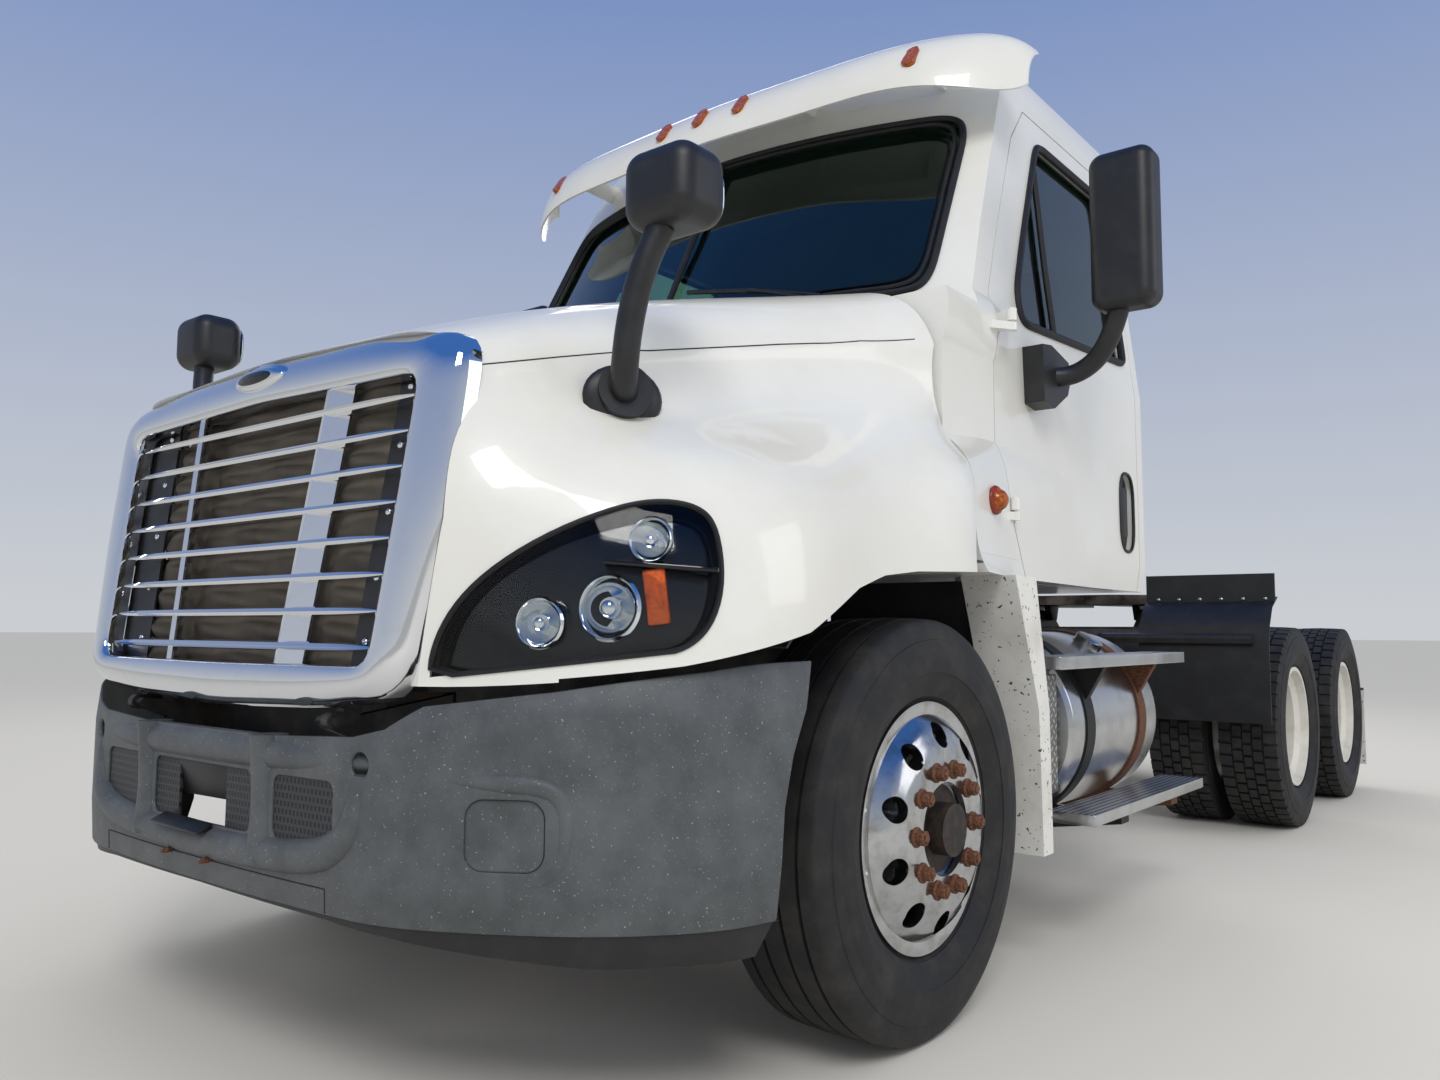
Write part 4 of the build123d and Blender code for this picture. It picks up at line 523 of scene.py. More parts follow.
# Lower cooling slots. Black moulded mesh behind the bumper's openings, its links like chain, with the
# middle piece gone and its tongue left hanging. Two rusty bolts stick out of the plate below.
def board(name, size, place, material, body, bevel=0.0, turn=(0.0, 0.0, 0.0)):
    """Rectangular plate or block with eased edges."""
    block = started(bpy.ops.mesh.primitive_cube_add, size=1, location=place, rotation=turn)
    block.scale = size
    return settle(name, material, body, bevel)


chain_plastic, chain_shader = finish_of("moulded_chain_mesh", "#151517", 0.5)
chain_place = add(chain_plastic, "TexCoord", {})
chain_fit = add(chain_plastic, "Mapping", {"Vector": (chain_place, "Object"), "Rotation": (pi / 2, 0.0, 0.0)})
# The openings between the links are painted near-black, as painted shade from the dark hollow behind the slots.
chain_links_and_gap_shade = add(chain_plastic, "TexBrick", {
    "Vector": (chain_fit, "Vector"), "Scale": 1.0, "Brick Width": 0.013, "Row Height": 0.016,
    "Mortar Size": 0.0032, "Color1": linear("#060607"), "Color2": linear("#0a0a0b"),
    "Mortar": linear("#323438")})
feed(chain_plastic, chain_links_and_gap_shade, "Color", chain_shader, "Base Color")
chain_relief = add(chain_plastic, "Bump", {"Height": (chain_links_and_gap_shade, "Fac"), "Strength": 0.8,
                                           "Distance": 0.003})
feed(chain_plastic, chain_relief, "Normal", chain_shader, "Normal")
# start and end in x, place in y, and turn in degrees
SLOT_MESHES = ((-0.52, -0.30, -1.197, -3.5), (-0.225, -0.105, -1.204, 0.0), (0.11, 0.225, -1.204, 0.0),
               (0.30, 0.52, -1.197, 3.5))
for number, (x0, x1, slot_y, turn) in enumerate(SLOT_MESHES):
    board(f"slot_mesh_{number}", (x1 - x0, 0.006, 0.14), at((x0 + x1) / 2, slot_y, 0.608), chain_plastic,
          "chassis", turn=(0, 0, radians(turn)))
board("hanging_baffle", (0.225, 0.005, 0.085), at(0.0, -1.192, 0.634), black_nylon, "chassis", bevel=0.002,
      turn=(radians(14), 0, radians(3)))
board("slot_tongue", (0.22, 0.040, 0.008), at(-0.03, -1.236, 0.540), black_nylon, "chassis", bevel=0.0035,
      turn=(radians(24), radians(1), 0))
rusty_steel, rusty_shader = mottled("rusted_steel", "#6b4630", 0.85, ("#3f291b", "#80523a"), 0.006,
                                    (0.35, 0.65))
roughen(rusty_steel, rusty_shader, 0.0015, 0.0004)
for number, bolt_x in enumerate((-0.118, 0.060)):
    dome(f"lip_bolt_{number}", 0.007, 0.028, at(bolt_x, -1.212, 0.469), (0.1, -1, -0.1), rusty_steel,
         "chassis", sides=12)

# Bumper's middle. The moulding swells into a rounded rib round the slots, with a beam over them and an
# upright between each pair. A brow frames each blank lamp cover, and a ring each tow hole.
BUMPER_PLAN = [(0, -1.215), (0.25, -1.212), (0.47, -1.202), (0.64, -1.180), (0.80, -1.108)]
U_RIB = [(-0.575, 0.690), (-0.568, 0.610), (-0.535, 0.555), (-0.450, 0.520), (-0.25, 0.507), (0.0, 0.504),
         (0.25, 0.507), (0.450, 0.520), (0.535, 0.555), (0.568, 0.610), (0.575, 0.690)]
BLANK_X, BLANK_Y, BLANK_Z, BLANK_TURN = 0.858, -1.058, 0.594, atan2(0.118, 0.180)
BLANK_BROW = [(-0.135, 0.098), (-0.02, 0.096), (0.085, 0.090), (0.116, 0.050), (0.112, -0.050),
              (0.060, -0.094), (-0.050, -0.096)]


def between(points, value):
    """Second number of a pair at a value of the first, on straight runs through pairs."""
    for (a0, b0), (a1, b1) in zip(points, points[1:]):
        if value <= a1:
            return b0 + (b1 - b0) * (value - a0) / (a1 - a0)
    return points[-1][1]


def on_bumper(x, z, back=0.0):
    """Place on the bumper's face, a depth behind it."""
    return at(x, between(BUMPER_PLAN, abs(x)) + back, z)


tube("bumper_rib", [on_bumper(x, z, 0.012) for x, z in U_RIB], 0.036, bumper_plastic, "chassis",
     shares=[0.5, 0.85, 1, 1, 1, 1, 1, 1, 1, 0.85, 0.5])
tube("bumper_beam", [on_bumper(x, 0.712, 0.020) for x in (-0.60, -0.52, -0.3, 0.0, 0.3, 0.52, 0.60)],
     0.038, bumper_plastic, "chassis", shares=[0.3, 0.6, 1, 1, 1, 0.6, 0.3])
for number, rib_x in enumerate((-0.262, 0.262)):
    tube(f"bumper_upright_{number}", [on_bumper(rib_x, z, 0.014) for z in (0.49, 0.54, 0.61, 0.69, 0.75)],
         0.036, bumper_plastic, "chassis", shares=[1.1, 0.95, 0.85, 0.95, 1.1])
for side, s in SIDES:
    brow = [at(s * (BLANK_X + along * cos(BLANK_TURN)),
               BLANK_Y + along * sin(BLANK_TURN) - 0.002 + 0.3 * along ** 2, BLANK_Z + rise)
            for along, rise in BLANK_BROW]
    tube("lamp_blank_brow_" + side, brow, 0.022, bumper_plastic, "chassis",
         shares=[0.3, 1.0, 1.0, 0.9, 0.8, 0.7, 0.3])
    started(bpy.ops.mesh.primitive_torus_add, major_segments=32, minor_segments=10, major_radius=0.030,
            minor_radius=0.006, location=on_bumper(s * 0.581, 0.710, 0.003),
            rotation=(pi / 2, 0, s * radians(8)))
    settle("tow_hole_" + side, bumper_plastic, "chassis", angle=60)


# Joint lines. The hood's top and sides are moulded apart and bonded along a fine open joint, and the
# bumper's lower strip is a piece of its own. A thin black bead fills each.
def laid_on(carrier, points, steps=10):
    """Points along a run, brought onto the surface of the piece that carries it."""
    line = []
    for a, b in zip(points, points[1:]):
        line += [carrier.closest_point_on_mesh(a.lerp(b, step / steps))[1] for step in range(steps)]
    return line + [carrier.closest_point_on_mesh(points[-1])[1]]


HOOD_JOINT = [(0.724, -1.070, 1.490), (0.758, -0.855, 1.546), (0.785, -0.660, 1.592), (0.820, -0.469, 1.635),
              (0.863, -0.206, 1.693), (0.931, 0.065, 1.748), (1.010, 0.225, 1.776)]
BUMPER_JOINT = [(-0.49, 0.418), (-0.49, 0.466), (-0.25, 0.466), (0, 0.466), (0.25, 0.466), (0.49, 0.466),
                (0.49, 0.418)]
for side, s in SIDES:
    joint = laid_on(bpy.data.objects["hood_skin"], [at(s * x, y, z) for x, y, z in HOOD_JOINT])
    tube("hood_joint_" + side, joint, 0.0016, seal_rubber, "hood", smooth=False)
joint = laid_on(bpy.data.objects["bumper_skin"], [on_bumper(x, z) for x, z in BUMPER_JOINT])
tube("bumper_joint", joint, 0.0014, seal_rubber, "chassis", smooth=False)

# Glass. Laminated screen and tempered door panes, bonded or let into rubber. It is tinted green, clear and
# very smooth, with a slight drift of tone.
tinted_glass, _ = mottled("tinted_safety_glass", "#6f8a7e", 0.01, ("#6f8a7e", "#6b857a"), 0.3,
                          Transmission_Weight=1.0, IOR=1.5)
for node in ("cab_glass", "door_glass_left", "door_glass_right"):
    skin(node, tinted_glass)

# Screen and window seals. Black EPDM rubber in three beads round the screen, with a bar where its halves
# meet, and a rubber channel round each door window with the upright of its vent pane.
SCREEN_OUTLINE = whole([(0, 1.975), (0.880, 1.985), (0.925, 2.030), (0.900, 2.610), (0.850, 2.672), (0, 2.690)])
WINDOW_OUTLINE = [(0.830, 1.990), (0.850, 1.962), (0.890, 1.955), (1.790, 2.005), (1.810, 2.030),
                  (1.800, 2.640), (1.770, 2.672), (1.180, 2.672), (1.140, 2.640), (0.832, 2.060)]
# Section of the cab's side: height, and distance from the middle.
CAB_SIDE = [(1.130, 1.046), (1.230, 1.060), (1.890, 1.057), (2.222, 1.018), (2.850, 0.958), (2.915, 0.938)]
SCREEN_BOW, SCREEN_MIDDLE = 2.393, 2.33
# distance in from the outline, radius, and height above the glass
SCREEN_BEADS = ((0.0, 0.012, 0.005), (0.021, 0.008, 0.005), (0.036, 0.006, 0.003))


def on_screen(x, z, proud):
    """Place a height above the screen's outer surface, which is bowed from side to side and leans back."""
    face_y = 0.239 + (z - 1.930) * 0.5417 + SCREEN_BOW - sqrt(SCREEN_BOW ** 2 - x * x)
    return at(x, max(0.285, face_y) - proud, z)


def stepped(outline, step=0.05):
    """Closed outline with its points no further apart than a step."""
    points = []
    for a, b in zip(outline, outline[1:] + outline[:1]):
        count = max(1, int((b - a).length / step))
        points += [a.lerp(b, i / count) for i in range(count)]
    return points


for number, (inset, radius, proud) in enumerate(SCREEN_BEADS):
    bead = []
    for point in stepped(rounded_outline(SCREEN_OUTLINE, 0.085)):
        x = point.x - copysign(min(inset, abs(point.x)), point.x)
        rise = point.y - SCREEN_MIDDLE
        bead.append(on_screen(x, point.y - copysign(min(inset, abs(rise)), rise), proud))
    tube(f"screen_bead_{number}", bead, radius, seal_rubber, "chassis", closed=True, smooth=False)
tube("screen_divider", [on_screen(0, z, 0.004) for z in (1.98, SCREEN_MIDDLE, 2.685)], 0.011, seal_rubber,
     "chassis", smooth=False)
for side, s in SIDES:
    channel = [at(s * (between(CAB_SIDE, point.y) + 0.001), point.x, point.y)
               for point in stepped(rounded_outline(WINDOW_OUTLINE, 0.05))]
    tube("window_channel_" + side, channel, 0.014, seal_rubber, "door_" + side, closed=True, smooth=False)
    upright = [at(s * (between(CAB_SIDE, z) - 0.004), 1.125, z) for z in (1.968, 2.222, 2.620)]
    tube("vent_upright_" + side, upright, 0.011, seal_rubber, "door_" + side, smooth=False)

# Wipers. Pressed steel arms with rubber blades, all black, on spindles in the cowl. They are parked low on
# the screen.
WIPER_BLADE = [(0.10, 2.105), (0.30, 2.072), (0.45, 2.042), (0.62, 2.000)]
WIPER_ARM = [(0.66, 1.962, 0.004), (0.60, 1.985, 0.030), (0.48, 2.030, 0.034), (0.36, 2.062, 0.026)]
for side, s in SIDES:
    tube("wiper_blade_" + side, [on_screen(s * x, z, 0.016) for x, z in WIPER_BLADE], 0.008, black_nylon,
         "chassis")
    tube("wiper_arm_" + side, [on_screen(s * x, z, proud) for x, z, proud in WIPER_ARM], 0.007, black_nylon,
         "chassis")

# Door handles. A black nylon cup let into the door's pocket, with a lip round it and a paddle that is
# pulled out.
HANDLE_Y, HANDLE_Z = 1.763, 1.425
HANDLE_OUTLINE = rounded_outline([(-0.074, -0.149), (0.074, -0.149), (0.074, 0.149), (-0.074, 0.149)], 0.100)
for side, s in SIDES:
    cup_line = [at(s * 1.032, HANDLE_Y + point.x, HANDLE_Z + point.y) for point in HANDLE_OUTLINE]
    panel("handle_cup_" + side, cup_line, (s * 0.004, 0, 0), black_nylon, "door_" + side)
    lip_line = [at(s * (between(CAB_SIDE, HANDLE_Z + point.y) + 0.001), HANDLE_Y + point.x,
                   HANDLE_Z + point.y) for point in HANDLE_OUTLINE]
    tube("handle_lip_" + side, lip_line, 0.006, black_nylon, "door_" + side, closed=True, smooth=False)
    board("handle_paddle_" + side, (0.022, 0.060, 0.190), at(s * 1.047, HANDLE_Y - 0.012, HANDLE_Z),
          black_nylon, "door_" + side, bevel=0.007)

# Mirror panes. Silvered glass let into the back of each head, a tall flat pane over a small convex one on
# the doors. Each hood mirror's arm stands on an oval black foot.
silvered_glass, _ = mottled("silvered_glass", "#c3cbd0", 0.02, ("#c3cbd0", "#b4bcc0"), 0.08, metallic=1.0)


def pane_line(x, y, z, half_width, half_height, radius):
    """Outline of an upright pane with round corners, about its middle."""
    corners = [(-half_width, -half_height), (half_width, -half_height), (half_width, half_height),
               (-half_width, half_height)]
    return [at(x + point.x, y, z + point.y) for point in rounded_outline(corners, radius)]


for side, s in SIDES:
    for part, pane_z, pane_height in (("tall", 2.283, 0.300), ("convex", 2.045, 0.120)):
        pane = pane_line(s * 1.352, 1.003, pane_z, 0.082, pane_height / 2, 0.03)
        panel(f"mirror_pane_{part}_{side}", pane, (0, 0.005, 0), silvered_glass, "door_" + side, bevel=0.001)
    pane = pane_line(s * 0.994, -0.690, 1.876, 0.072, 0.062, 0.05)
    panel("hood_mirror_pane_" + side, pane, (0, 0.006, 0), silvered_glass, "hood", bevel=0.002)
    foot = dome("hood_mirror_foot_" + side, 1.0, 1.0, (0, 0, 0), (s, 0, 0), black_nylon, "hood", sides=28)
    foot.data.transform(Matrix.Translation(at(s * 0.838, -0.745, 1.466))
                        @ Matrix.Rotation(s * radians(-24), 4, "Z")
                        @ Matrix.Diagonal((0.020, 0.092, 0.072, 1.0)))

# Headlamps. A clear moulded polycarbonate lens lies flush with the hood in a black rubber edge. Under it a
# gloss-black bezel carries three reflectors plated in vacuum, a shelf and an amber turn lamp.
lamp_lens, _ = mottled("clear_polycarbonate_lens", "#f4f6f7", 0.01, ("#f4f6f7", "#eef0f0"), 0.04,
                       Transmission_Weight=1.0, IOR=1.2)
bezel_black, _ = mottled("gloss_black_polycarbonate", "#0b0c0e", 0.06, ("#08090c", "#10131a"), 0.06)
vacuum_plate, _ = mottled("vacuum_plated_reflector", "#dfe3e6", 0.05, ("#dfe3e6", "#d6dadd"), 0.02,
                          metallic=1.0)
amber_inside, _ = mottled("amber_acrylic_block", "#d4581a", 0.2, ("#d85f1c", "#a53d0c"), 0.01)
LAMP_TURN = radians(38.5)
LAMP_ALONG = (cos(LAMP_TURN), sin(LAMP_TURN))
LAMP_OUT = (sin(LAMP_TURN), -cos(LAMP_TURN))
# distance along the lamp, height, radius, and distance out
REFLECTORS = ((0.420, 1.142, 0.042, 0.020), (0.344, 1.013, 0.060, 0.022), (0.212, 0.984, 0.047, 0.016))


def in_lamp(s, along, z, out):
    """Place in a headlamp: distance along the corner line, height, and distance out from that line."""
    x = 0.720 + LAMP_ALONG[0] * along + LAMP_OUT[0] * out
    y = -1.142 + LAMP_ALONG[1] * along + LAMP_OUT[1] * out
    return at(s * x, y, z)


def lamp_front(name, s):
    """Front faces of one headlamp, as an open sheet."""
    sheet = merged_copy(name, "headlamps")
    out = Vector((s * LAMP_OUT[0], LAMP_OUT[1], 0.25)).normalized()
    for face in sheet.data.polygons:
        face.select = face.center.x * s < 0 or face.normal.dot(out) < 0.35
    bpy.ops.object.mode_set(mode="EDIT")
    bpy.ops.mesh.delete(type="FACE")
    bpy.ops.object.mode_set(mode="OBJECT")
    return sheet


def walled(sheet, thickness):
    """Give an open sheet a wall inwards, which settle applies."""
    wall = sheet.modifiers.new("wall", "SOLIDIFY")
    wall.thickness = thickness
    wall.offset = -1.0


def turned(name, profile, steps=120):
    """Closed ring about the X axis, spun from a closed loop of (x, r) points."""
    ring = started(bpy.ops.mesh.primitive_circle_add, vertices=len(profile), radius=1.0)
    ring.name = name
    for vertex, (x, r) in zip(ring.data.vertices, profile):
        vertex.co = (x, 0, r)
    bpy.ops.object.mode_set(mode="EDIT")
    bpy.ops.mesh.select_all(action="SELECT")
    bpy.ops.mesh.spin(steps=steps, angle=2 * pi, center=(0, 0, 0), axis=(1, 0, 0))
    bpy.ops.mesh.select_all(action="SELECT")
    bpy.ops.mesh.remove_doubles(threshold=0.00001)
    bpy.ops.object.mode_set(mode="OBJECT")
    outward(ring)
    return ring


for side, s in SIDES:
    walled(lamp_front("headlamp_lens_" + side, s), 0.003)
    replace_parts(settle("headlamp_lens_" + side, lamp_lens, "hood", angle=50), "headlamps")
    bezel = lamp_front("headlamp_bezel_" + side, s)
    centre = in_lamp(s, 0.31, 1.04, 0.0)
    inward = Vector((-s * LAMP_OUT[0], -LAMP_OUT[1], 0.0)) * 0.042
    shrink = (Matrix.Translation(centre) @ Matrix.Diagonal((0.985, 0.985, 0.97, 1.0))
              @ Matrix.Translation(-centre))
    bezel.data.transform(Matrix.Translation(inward) @ shrink)
    walled(bezel, 0.004)
    settle("headlamp_bezel_" + side, bezel_black, "hood", angle=50)
    rim = lamp_front("headlamp_seal_" + side, s)
    bpy.ops.object.mode_set(mode="EDIT")
    bpy.ops.mesh.select_all(action="SELECT")
    bpy.ops.mesh.region_to_loop()
    bpy.ops.mesh.select_all(action="INVERT")
    bpy.ops.mesh.delete(type="VERT")
    bpy.ops.object.mode_set(mode="OBJECT")
    bpy.ops.object.convert(target="CURVE")
    rim.data.bevel_depth = 0.006
    rim.data.bevel_resolution = 1
    bpy.ops.object.convert(target="MESH")
    settle("headlamp_seal_" + side, seal_rubber, "hood")
    aim = Vector((s * 0.35, -0.93, 0.06))
    for number, (along, z, radius, out) in enumerate(REFLECTORS):
        bowl = turned("reflector", [(0.006, radius), (0.0, radius * 1.08), (-0.014, radius * 0.98),
                                    (-0.030, radius * 0.7), (-0.036, 0.0), (-0.032, 0.0),
                                    (-0.026, radius * 0.62), (-0.010, radius * 0.90),
                                    (0.004, radius * 0.95)], steps=40)
        bowl.data.transform(Matrix.Translation(in_lamp(s, along, z, out - 0.012))
                            @ aim.to_track_quat("X", "Z").to_matrix().to_4x4())
        settle(f"reflector_{side}_{number}", vacuum_plate, "hood", angle=50)
        dome(f"bulb_shield_{side}_{number}", radius * 0.36, radius * 0.40, in_lamp(s, along, z, out - 0.028),
             aim, vacuum_plate, "hood", sides=16)
    board("turn_lamp_" + side, (0.044, 0.02, 0.106), in_lamp(s, 0.432, 1.034, 0.006), amber_inside, "hood",
          bevel=0.006, turn=(0, radians(-7) * s, s * LAMP_TURN))
    board("lamp_shelf_" + side, (0.22, 0.05, 0.010), in_lamp(s, 0.440, 1.092, 0.000), bezel_black, "hood",
          bevel=0.004, turn=(0, radians(4) * s, s * LAMP_TURN))

# Clearance and side lamps. Moulded amber acrylic, glossy, its colour darkened as painted shade from the unlit
# hollow behind it. The round lamps on the cab's sides stand on a red base.
amber_lens_with_painted_shade, _ = mottled("amber_acrylic_lens", "#a85a0c", 0.15, ("#8a3c08", "#cf740d"), 0.012)
red_base, _ = mottled("red_moulded_lamp_base", "#8a2a14", 0.35, ("#7a2310", "#a03a1c"), 0.02)
skin("marker_lamps", amber_lens_with_painted_shade, bevel=0.006)
for side, s in SIDES:
    spots = [vertex.co for vertex in nodes["marker_lamps"].data.vertices
             if vertex.co.x * s > 1.0 and vertex.co.z < 1.6]
    middle = sum(spots, Vector()) / len(spots)
    for part, radius, depth, material in (("base", 0.042, 0.016, red_base), ("lens", 0.034, 0.036, amber_lens_with_painted_shade)):
        dome(f"side_lamp_{part}_{side}", radius, depth, middle, (s, 0, 0), material, body_of["marker_lamps"],
             sides=28)

# Tank and exhaust box. Bright sheet aluminium, rolled and welded, left as it came from the mill, with a
# dull film of road dust.
sheet_aluminium, _ = mottled("mill_finish_aluminium", "#c0c2c4", 0.24, ("#c2c4c6", "#8d8880"), 0.22,
                             (0.45, 0.85), metallic=1.0)
for node in ("fuel_tank", "exhaust_box"):
    skin(node, sheet_aluminium, bevel=0.004)


# Tread plate box and steps. The box is folded from diamond plate, whose raised bars lie crosswise in turn.
# The steps are pressed full of round teeth. Boots and tools have rubbed what stands out bright.
def pressed(material, shader, height, depth, low, high):
    """Raise a sheet's pattern by a depth, with a dull tone where it is low and a bright one where it is high."""
    relief = add(material, "Bump", {"Height": (height, "Result"), "Strength": 1.0, "Distance": depth})
    feed(material, relief, "Normal", shader, "Normal")
    tone = add(material, "Mix", {0: (height, "Result"), 6: linear(low), 7: linear(high)}, data_type="RGBA")
    feed(material, tone, 2, shader, "Base Color")


TREAD_CELL, TOOTH_PITCH = 0.024, 0.022
tread_aluminium, tread_shader = finish_of("diamond_tread_aluminium", "#b5b7b8", 0.32, metallic=1.0)
tread_place = add(tread_aluminium, "TexCoord", {})
tread_wrap = add(tread_aluminium, "Mapping", {"Vector": (tread_place, "Object"),
                                              "Rotation": (0, 0, radians(45)), "Scale": (1.414, 1.414, 1.0)})
tread_cells = add(tread_aluminium, "Mapping", {"Vector": (tread_wrap, "Vector"),
                                               "Rotation": (0, radians(45), 0), "Location": (0.0, 0.5, 0.0),
                                               "Scale": (1 / TREAD_CELL, 0.0, 1 / TREAD_CELL)})
tread_parity = add(tread_aluminium, "TexChecker", {"Vector": (tread_cells, "Vector"), "Scale": 1.0})
tread_fraction = add(tread_aluminium, "VectorMath", {0: (tread_cells, "Vector")}, operation="FRACTION")
tread_centred = add(tread_aluminium, "VectorMath", {0: (tread_fraction, "Vector"), 1: (0.5, 0.5, 0.5)},
                    operation="SUBTRACT")
tread_reaches = []
for stretch in ((1.15, 0.0, 3.8), (3.8, 0.0, 1.15)):
    tread_scaled = add(tread_aluminium, "VectorMath", {0: (tread_centred, "Vector"), 1: stretch},
                       operation="MULTIPLY")
    tread_reaches.append(add(tread_aluminium, "VectorMath", {0: (tread_scaled, "Vector")}, operation="LENGTH"))
tread_bars = add(tread_aluminium, "Mix", {0: (tread_parity, "Fac"), 2: (tread_reaches[0], "Value"),
                                          3: (tread_reaches[1], "Value")}, data_type="FLOAT")
tread_height = add(tread_aluminium, "MapRange", {"Value": (tread_bars, 0), "From Min": 0.55,
                                                 "From Max": 0.35})
pressed(tread_aluminium, tread_shader, tread_height, 0.003, "#83807a", "#e6e7e8")
skin("tread_plate_box", tread_aluminium, bevel=0.003)

toothed_aluminium, toothed_shader = finish_of("toothed_step_aluminium", "#b5b7b8", 0.3, metallic=1.0)
tooth_place = add(toothed_aluminium, "TexCoord", {})
tooth_flat = add(toothed_aluminium, "Mapping", {"Vector": (tooth_place, "Object"), "Scale": (1.0, 1.0, 0.0)})
tooth_cells = add(toothed_aluminium, "TexVoronoi", {"Vector": (tooth_flat, "Vector"),
                                                    "Scale": 1 / TOOTH_PITCH, "Randomness": 0.0})
tooth_height = add(toothed_aluminium, "MapRange", {"Value": (tooth_cells, "Distance"), "From Min": 0.42,
                                                   "From Max": 0.28})
pressed(toothed_aluminium, toothed_shader, tooth_height, 0.004, "#55524d", "#f4f5f5")
treads = skin("steps", sheet_aluminium, bevel=0.004)
treads.data.materials.append(toothed_aluminium)
for face in treads.data.polygons:
    face.material_index = int(face.normal.z > 0.8)

# Tank straps and cap. Steel bands pulled tight round the tank, the front one sleeved in black rubber and
# the rear one bare and brown with rust. The spun aluminium cap screws into the tank's shoulder.
straps = skin("tank_straps", seal_rubber)
straps.data.materials.append(rusty_steel)
for face in straps.data.polygons:
    face.material_index = int(face.center.y + FRONT_AXLE_Y > 1.4)
cap = turned("filler_cap", [(0.0, 0.0), (0.0, 0.056), (0.006, 0.056), (0.008, 0.050), (0.034, 0.050),
                            (0.039, 0.044), (0.039, 0.0)], steps=32)
cap.data.transform(Matrix.Translation(at(0.972, 1.545, 0.920)) @ Matrix.Rotation(radians(-58.3), 4, "Y"))
settle("filler_cap", sheet_aluminium, "chassis")

# Splash boards. Flat sheets of black nylon that close the back of each front arch, screwed on between the
# frame and the closeout panel.
for side, s in SIDES:
    board("splash_board_" + side, (0.57, 0.006, 0.50), at(s * 0.755, 0.625, 0.875), black_nylon, "chassis",
          bevel=0.002)

# Quarter fenders. Black nylon plates ahead of the drive tyres, with the upper flap riveted on along its
# foot.
skin("quarter_fenders", black_nylon)
for side, s in SIDES:
    for number in range(6):
        dome(f"flap_rivet_{side}_{number}", 0.010, 0.006, at(s * (0.68 + 0.1 * number), 3.350, 1.140),
             (0, -1, 0), sheet_aluminium, "chassis", sides=12)

# Tail lamps. Round lamps of moulded red acrylic in rubber grommets, two on each hanger of the mud flaps,
# deep red and glossy.
red_lens, _ = mottled("red_acrylic_lens", "#8e1512", 0.12, ("#7a100e", "#b3221c"), 0.010)
for side, s in SIDES:
    for number, lamp_x in enumerate((0.86, 1.02)):
        lamp_place = at(s * lamp_x, 5.777, 0.592)
        dome(f"tail_grommet_{side}_{number}", 0.058, 0.010, lamp_place, (0, 1, 0), seal_rubber, "chassis",
             sides=28)
        dome(f"tail_lamp_{side}_{number}", 0.047, 0.022, lamp_place, (0, 1, 0), red_lens, "chassis", sides=28)

# Roof aerial. A low puck of black nylon, bonded to the roof over its cable, with the moulding's dull
# grain.
dome("roof_puck", 0.042, 0.022, at(-0.860, 0.82, 2.955), (-0.2, 0, 1), black_nylon, "chassis", sides=24)

# Seats. Moulded foam under dark woven cloth, pulled over it and clipped below, so every edge is soft and
# full and the cloth has no shine.
seat_cloth, seat_shader = mottled("woven_seat_cloth", "#2a2b2e", 0.9, ("#26272a", "#34363a"), 0.01)
seat_place = add(seat_cloth, "TexCoord", {})
# The real threads are 0.8 mm wide and are drawn 4 mm wide to show.
seat_weave = add(seat_cloth, "TexChecker", {"Vector": (seat_place, "Object"), "Scale": 1 / 0.004})
seat_relief = add(seat_cloth, "Bump", {"Height": (seat_weave, "Fac"), "Strength": 0.4, "Distance": 0.001})
feed(seat_cloth, seat_relief, "Normal", seat_shader, "Normal")
seat_pair = skin("seats", seat_cloth)
foam = seat_pair.modifiers.new("foam", "REMESH")
foam.mode = "VOXEL"
foam.voxel_size = 0.014
rounding = seat_pair.modifiers.new("rounding", "SMOOTH")
rounding.factor = 0.6
rounding.iterations = 10
for modifier in (foam.name, rounding.name):
    bpy.ops.object.modifier_apply(modifier=modifier)
bpy.ops.object.shade_smooth()


# Tyres. Radial tyres of black natural rubber, moulded with ribs in front and with blocks on the drive
# axles, dull and greyed with dust. The bead sits on the rim's seat.
def placed(master, name, place, body, turn=0.0):
    """Copy of a piece made about the X axis, set in its place with its own mesh."""
    twin = master.copy()
    twin.data = master.data.copy()
    twin.name = name
    bpy.context.collection.objects.link(twin)
    twin.data.transform(Matrix.Translation(place) @ Matrix.Rotation(turn, 4, "Z"))
    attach(twin, body)
    return twin


rubber, rubber_shader = mottled("carbon_black_rubber", "#1d1d1e", 0.7, ("#19191a", "#37342f"), 0.09,
                                (0.45, 0.8))
roughen(rubber, rubber_shader, 0.002, 0.0002)
TYRE_RADIUS = 0.503
GROOVE_FLOOR = TYRE_RADIUS - 0.015
# Half of the section, from the bead out to the shoulder: distance from the middle, and radius.
TYRE_WALL = [(0.104, 0.2866), (0.106, 0.303), (0.117, 0.313), (0.120, 0.3125), (0.134, 0.340),
             (0.1435, 0.368), (0.1455, 0.372), (0.1465, 0.371), (0.1485, 0.398), (0.1475, 0.418),
             (0.1455, 0.423), (0.1460, 0.427), (0.1415, 0.449), (0.1390, 0.451), (0.1375, 0.466),
             (0.1325, 0.481), (0.1265, 0.4925)]
GROOVES, GROOVE_HALF = (0.082, 0.029, -0.029, -0.082), 0.0045
BLOCK_BASE = [(0.118, 0.4900), (0.06, 0.4895), (0.0, 0.4890), (-0.06, 0.4895), (-0.118, 0.4900)]
BLOCK_PITCHES = 52
# middle and width of each row of blocks, and its shift round the tyre as a share of the pitch
BLOCK_ROWS = [(0.0, 0.036, 0.5), (0.045, 0.040, 0.0), (-0.045, 0.040, 0.0), (0.101, 0.056, 0.5),
              (-0.101, 0.056, 0.5)]


def crown(x):
    """Radius of the slightly rounded tread."""
    return TYRE_RADIUS - 0.0045 * (abs(x) / 0.12) ** 2


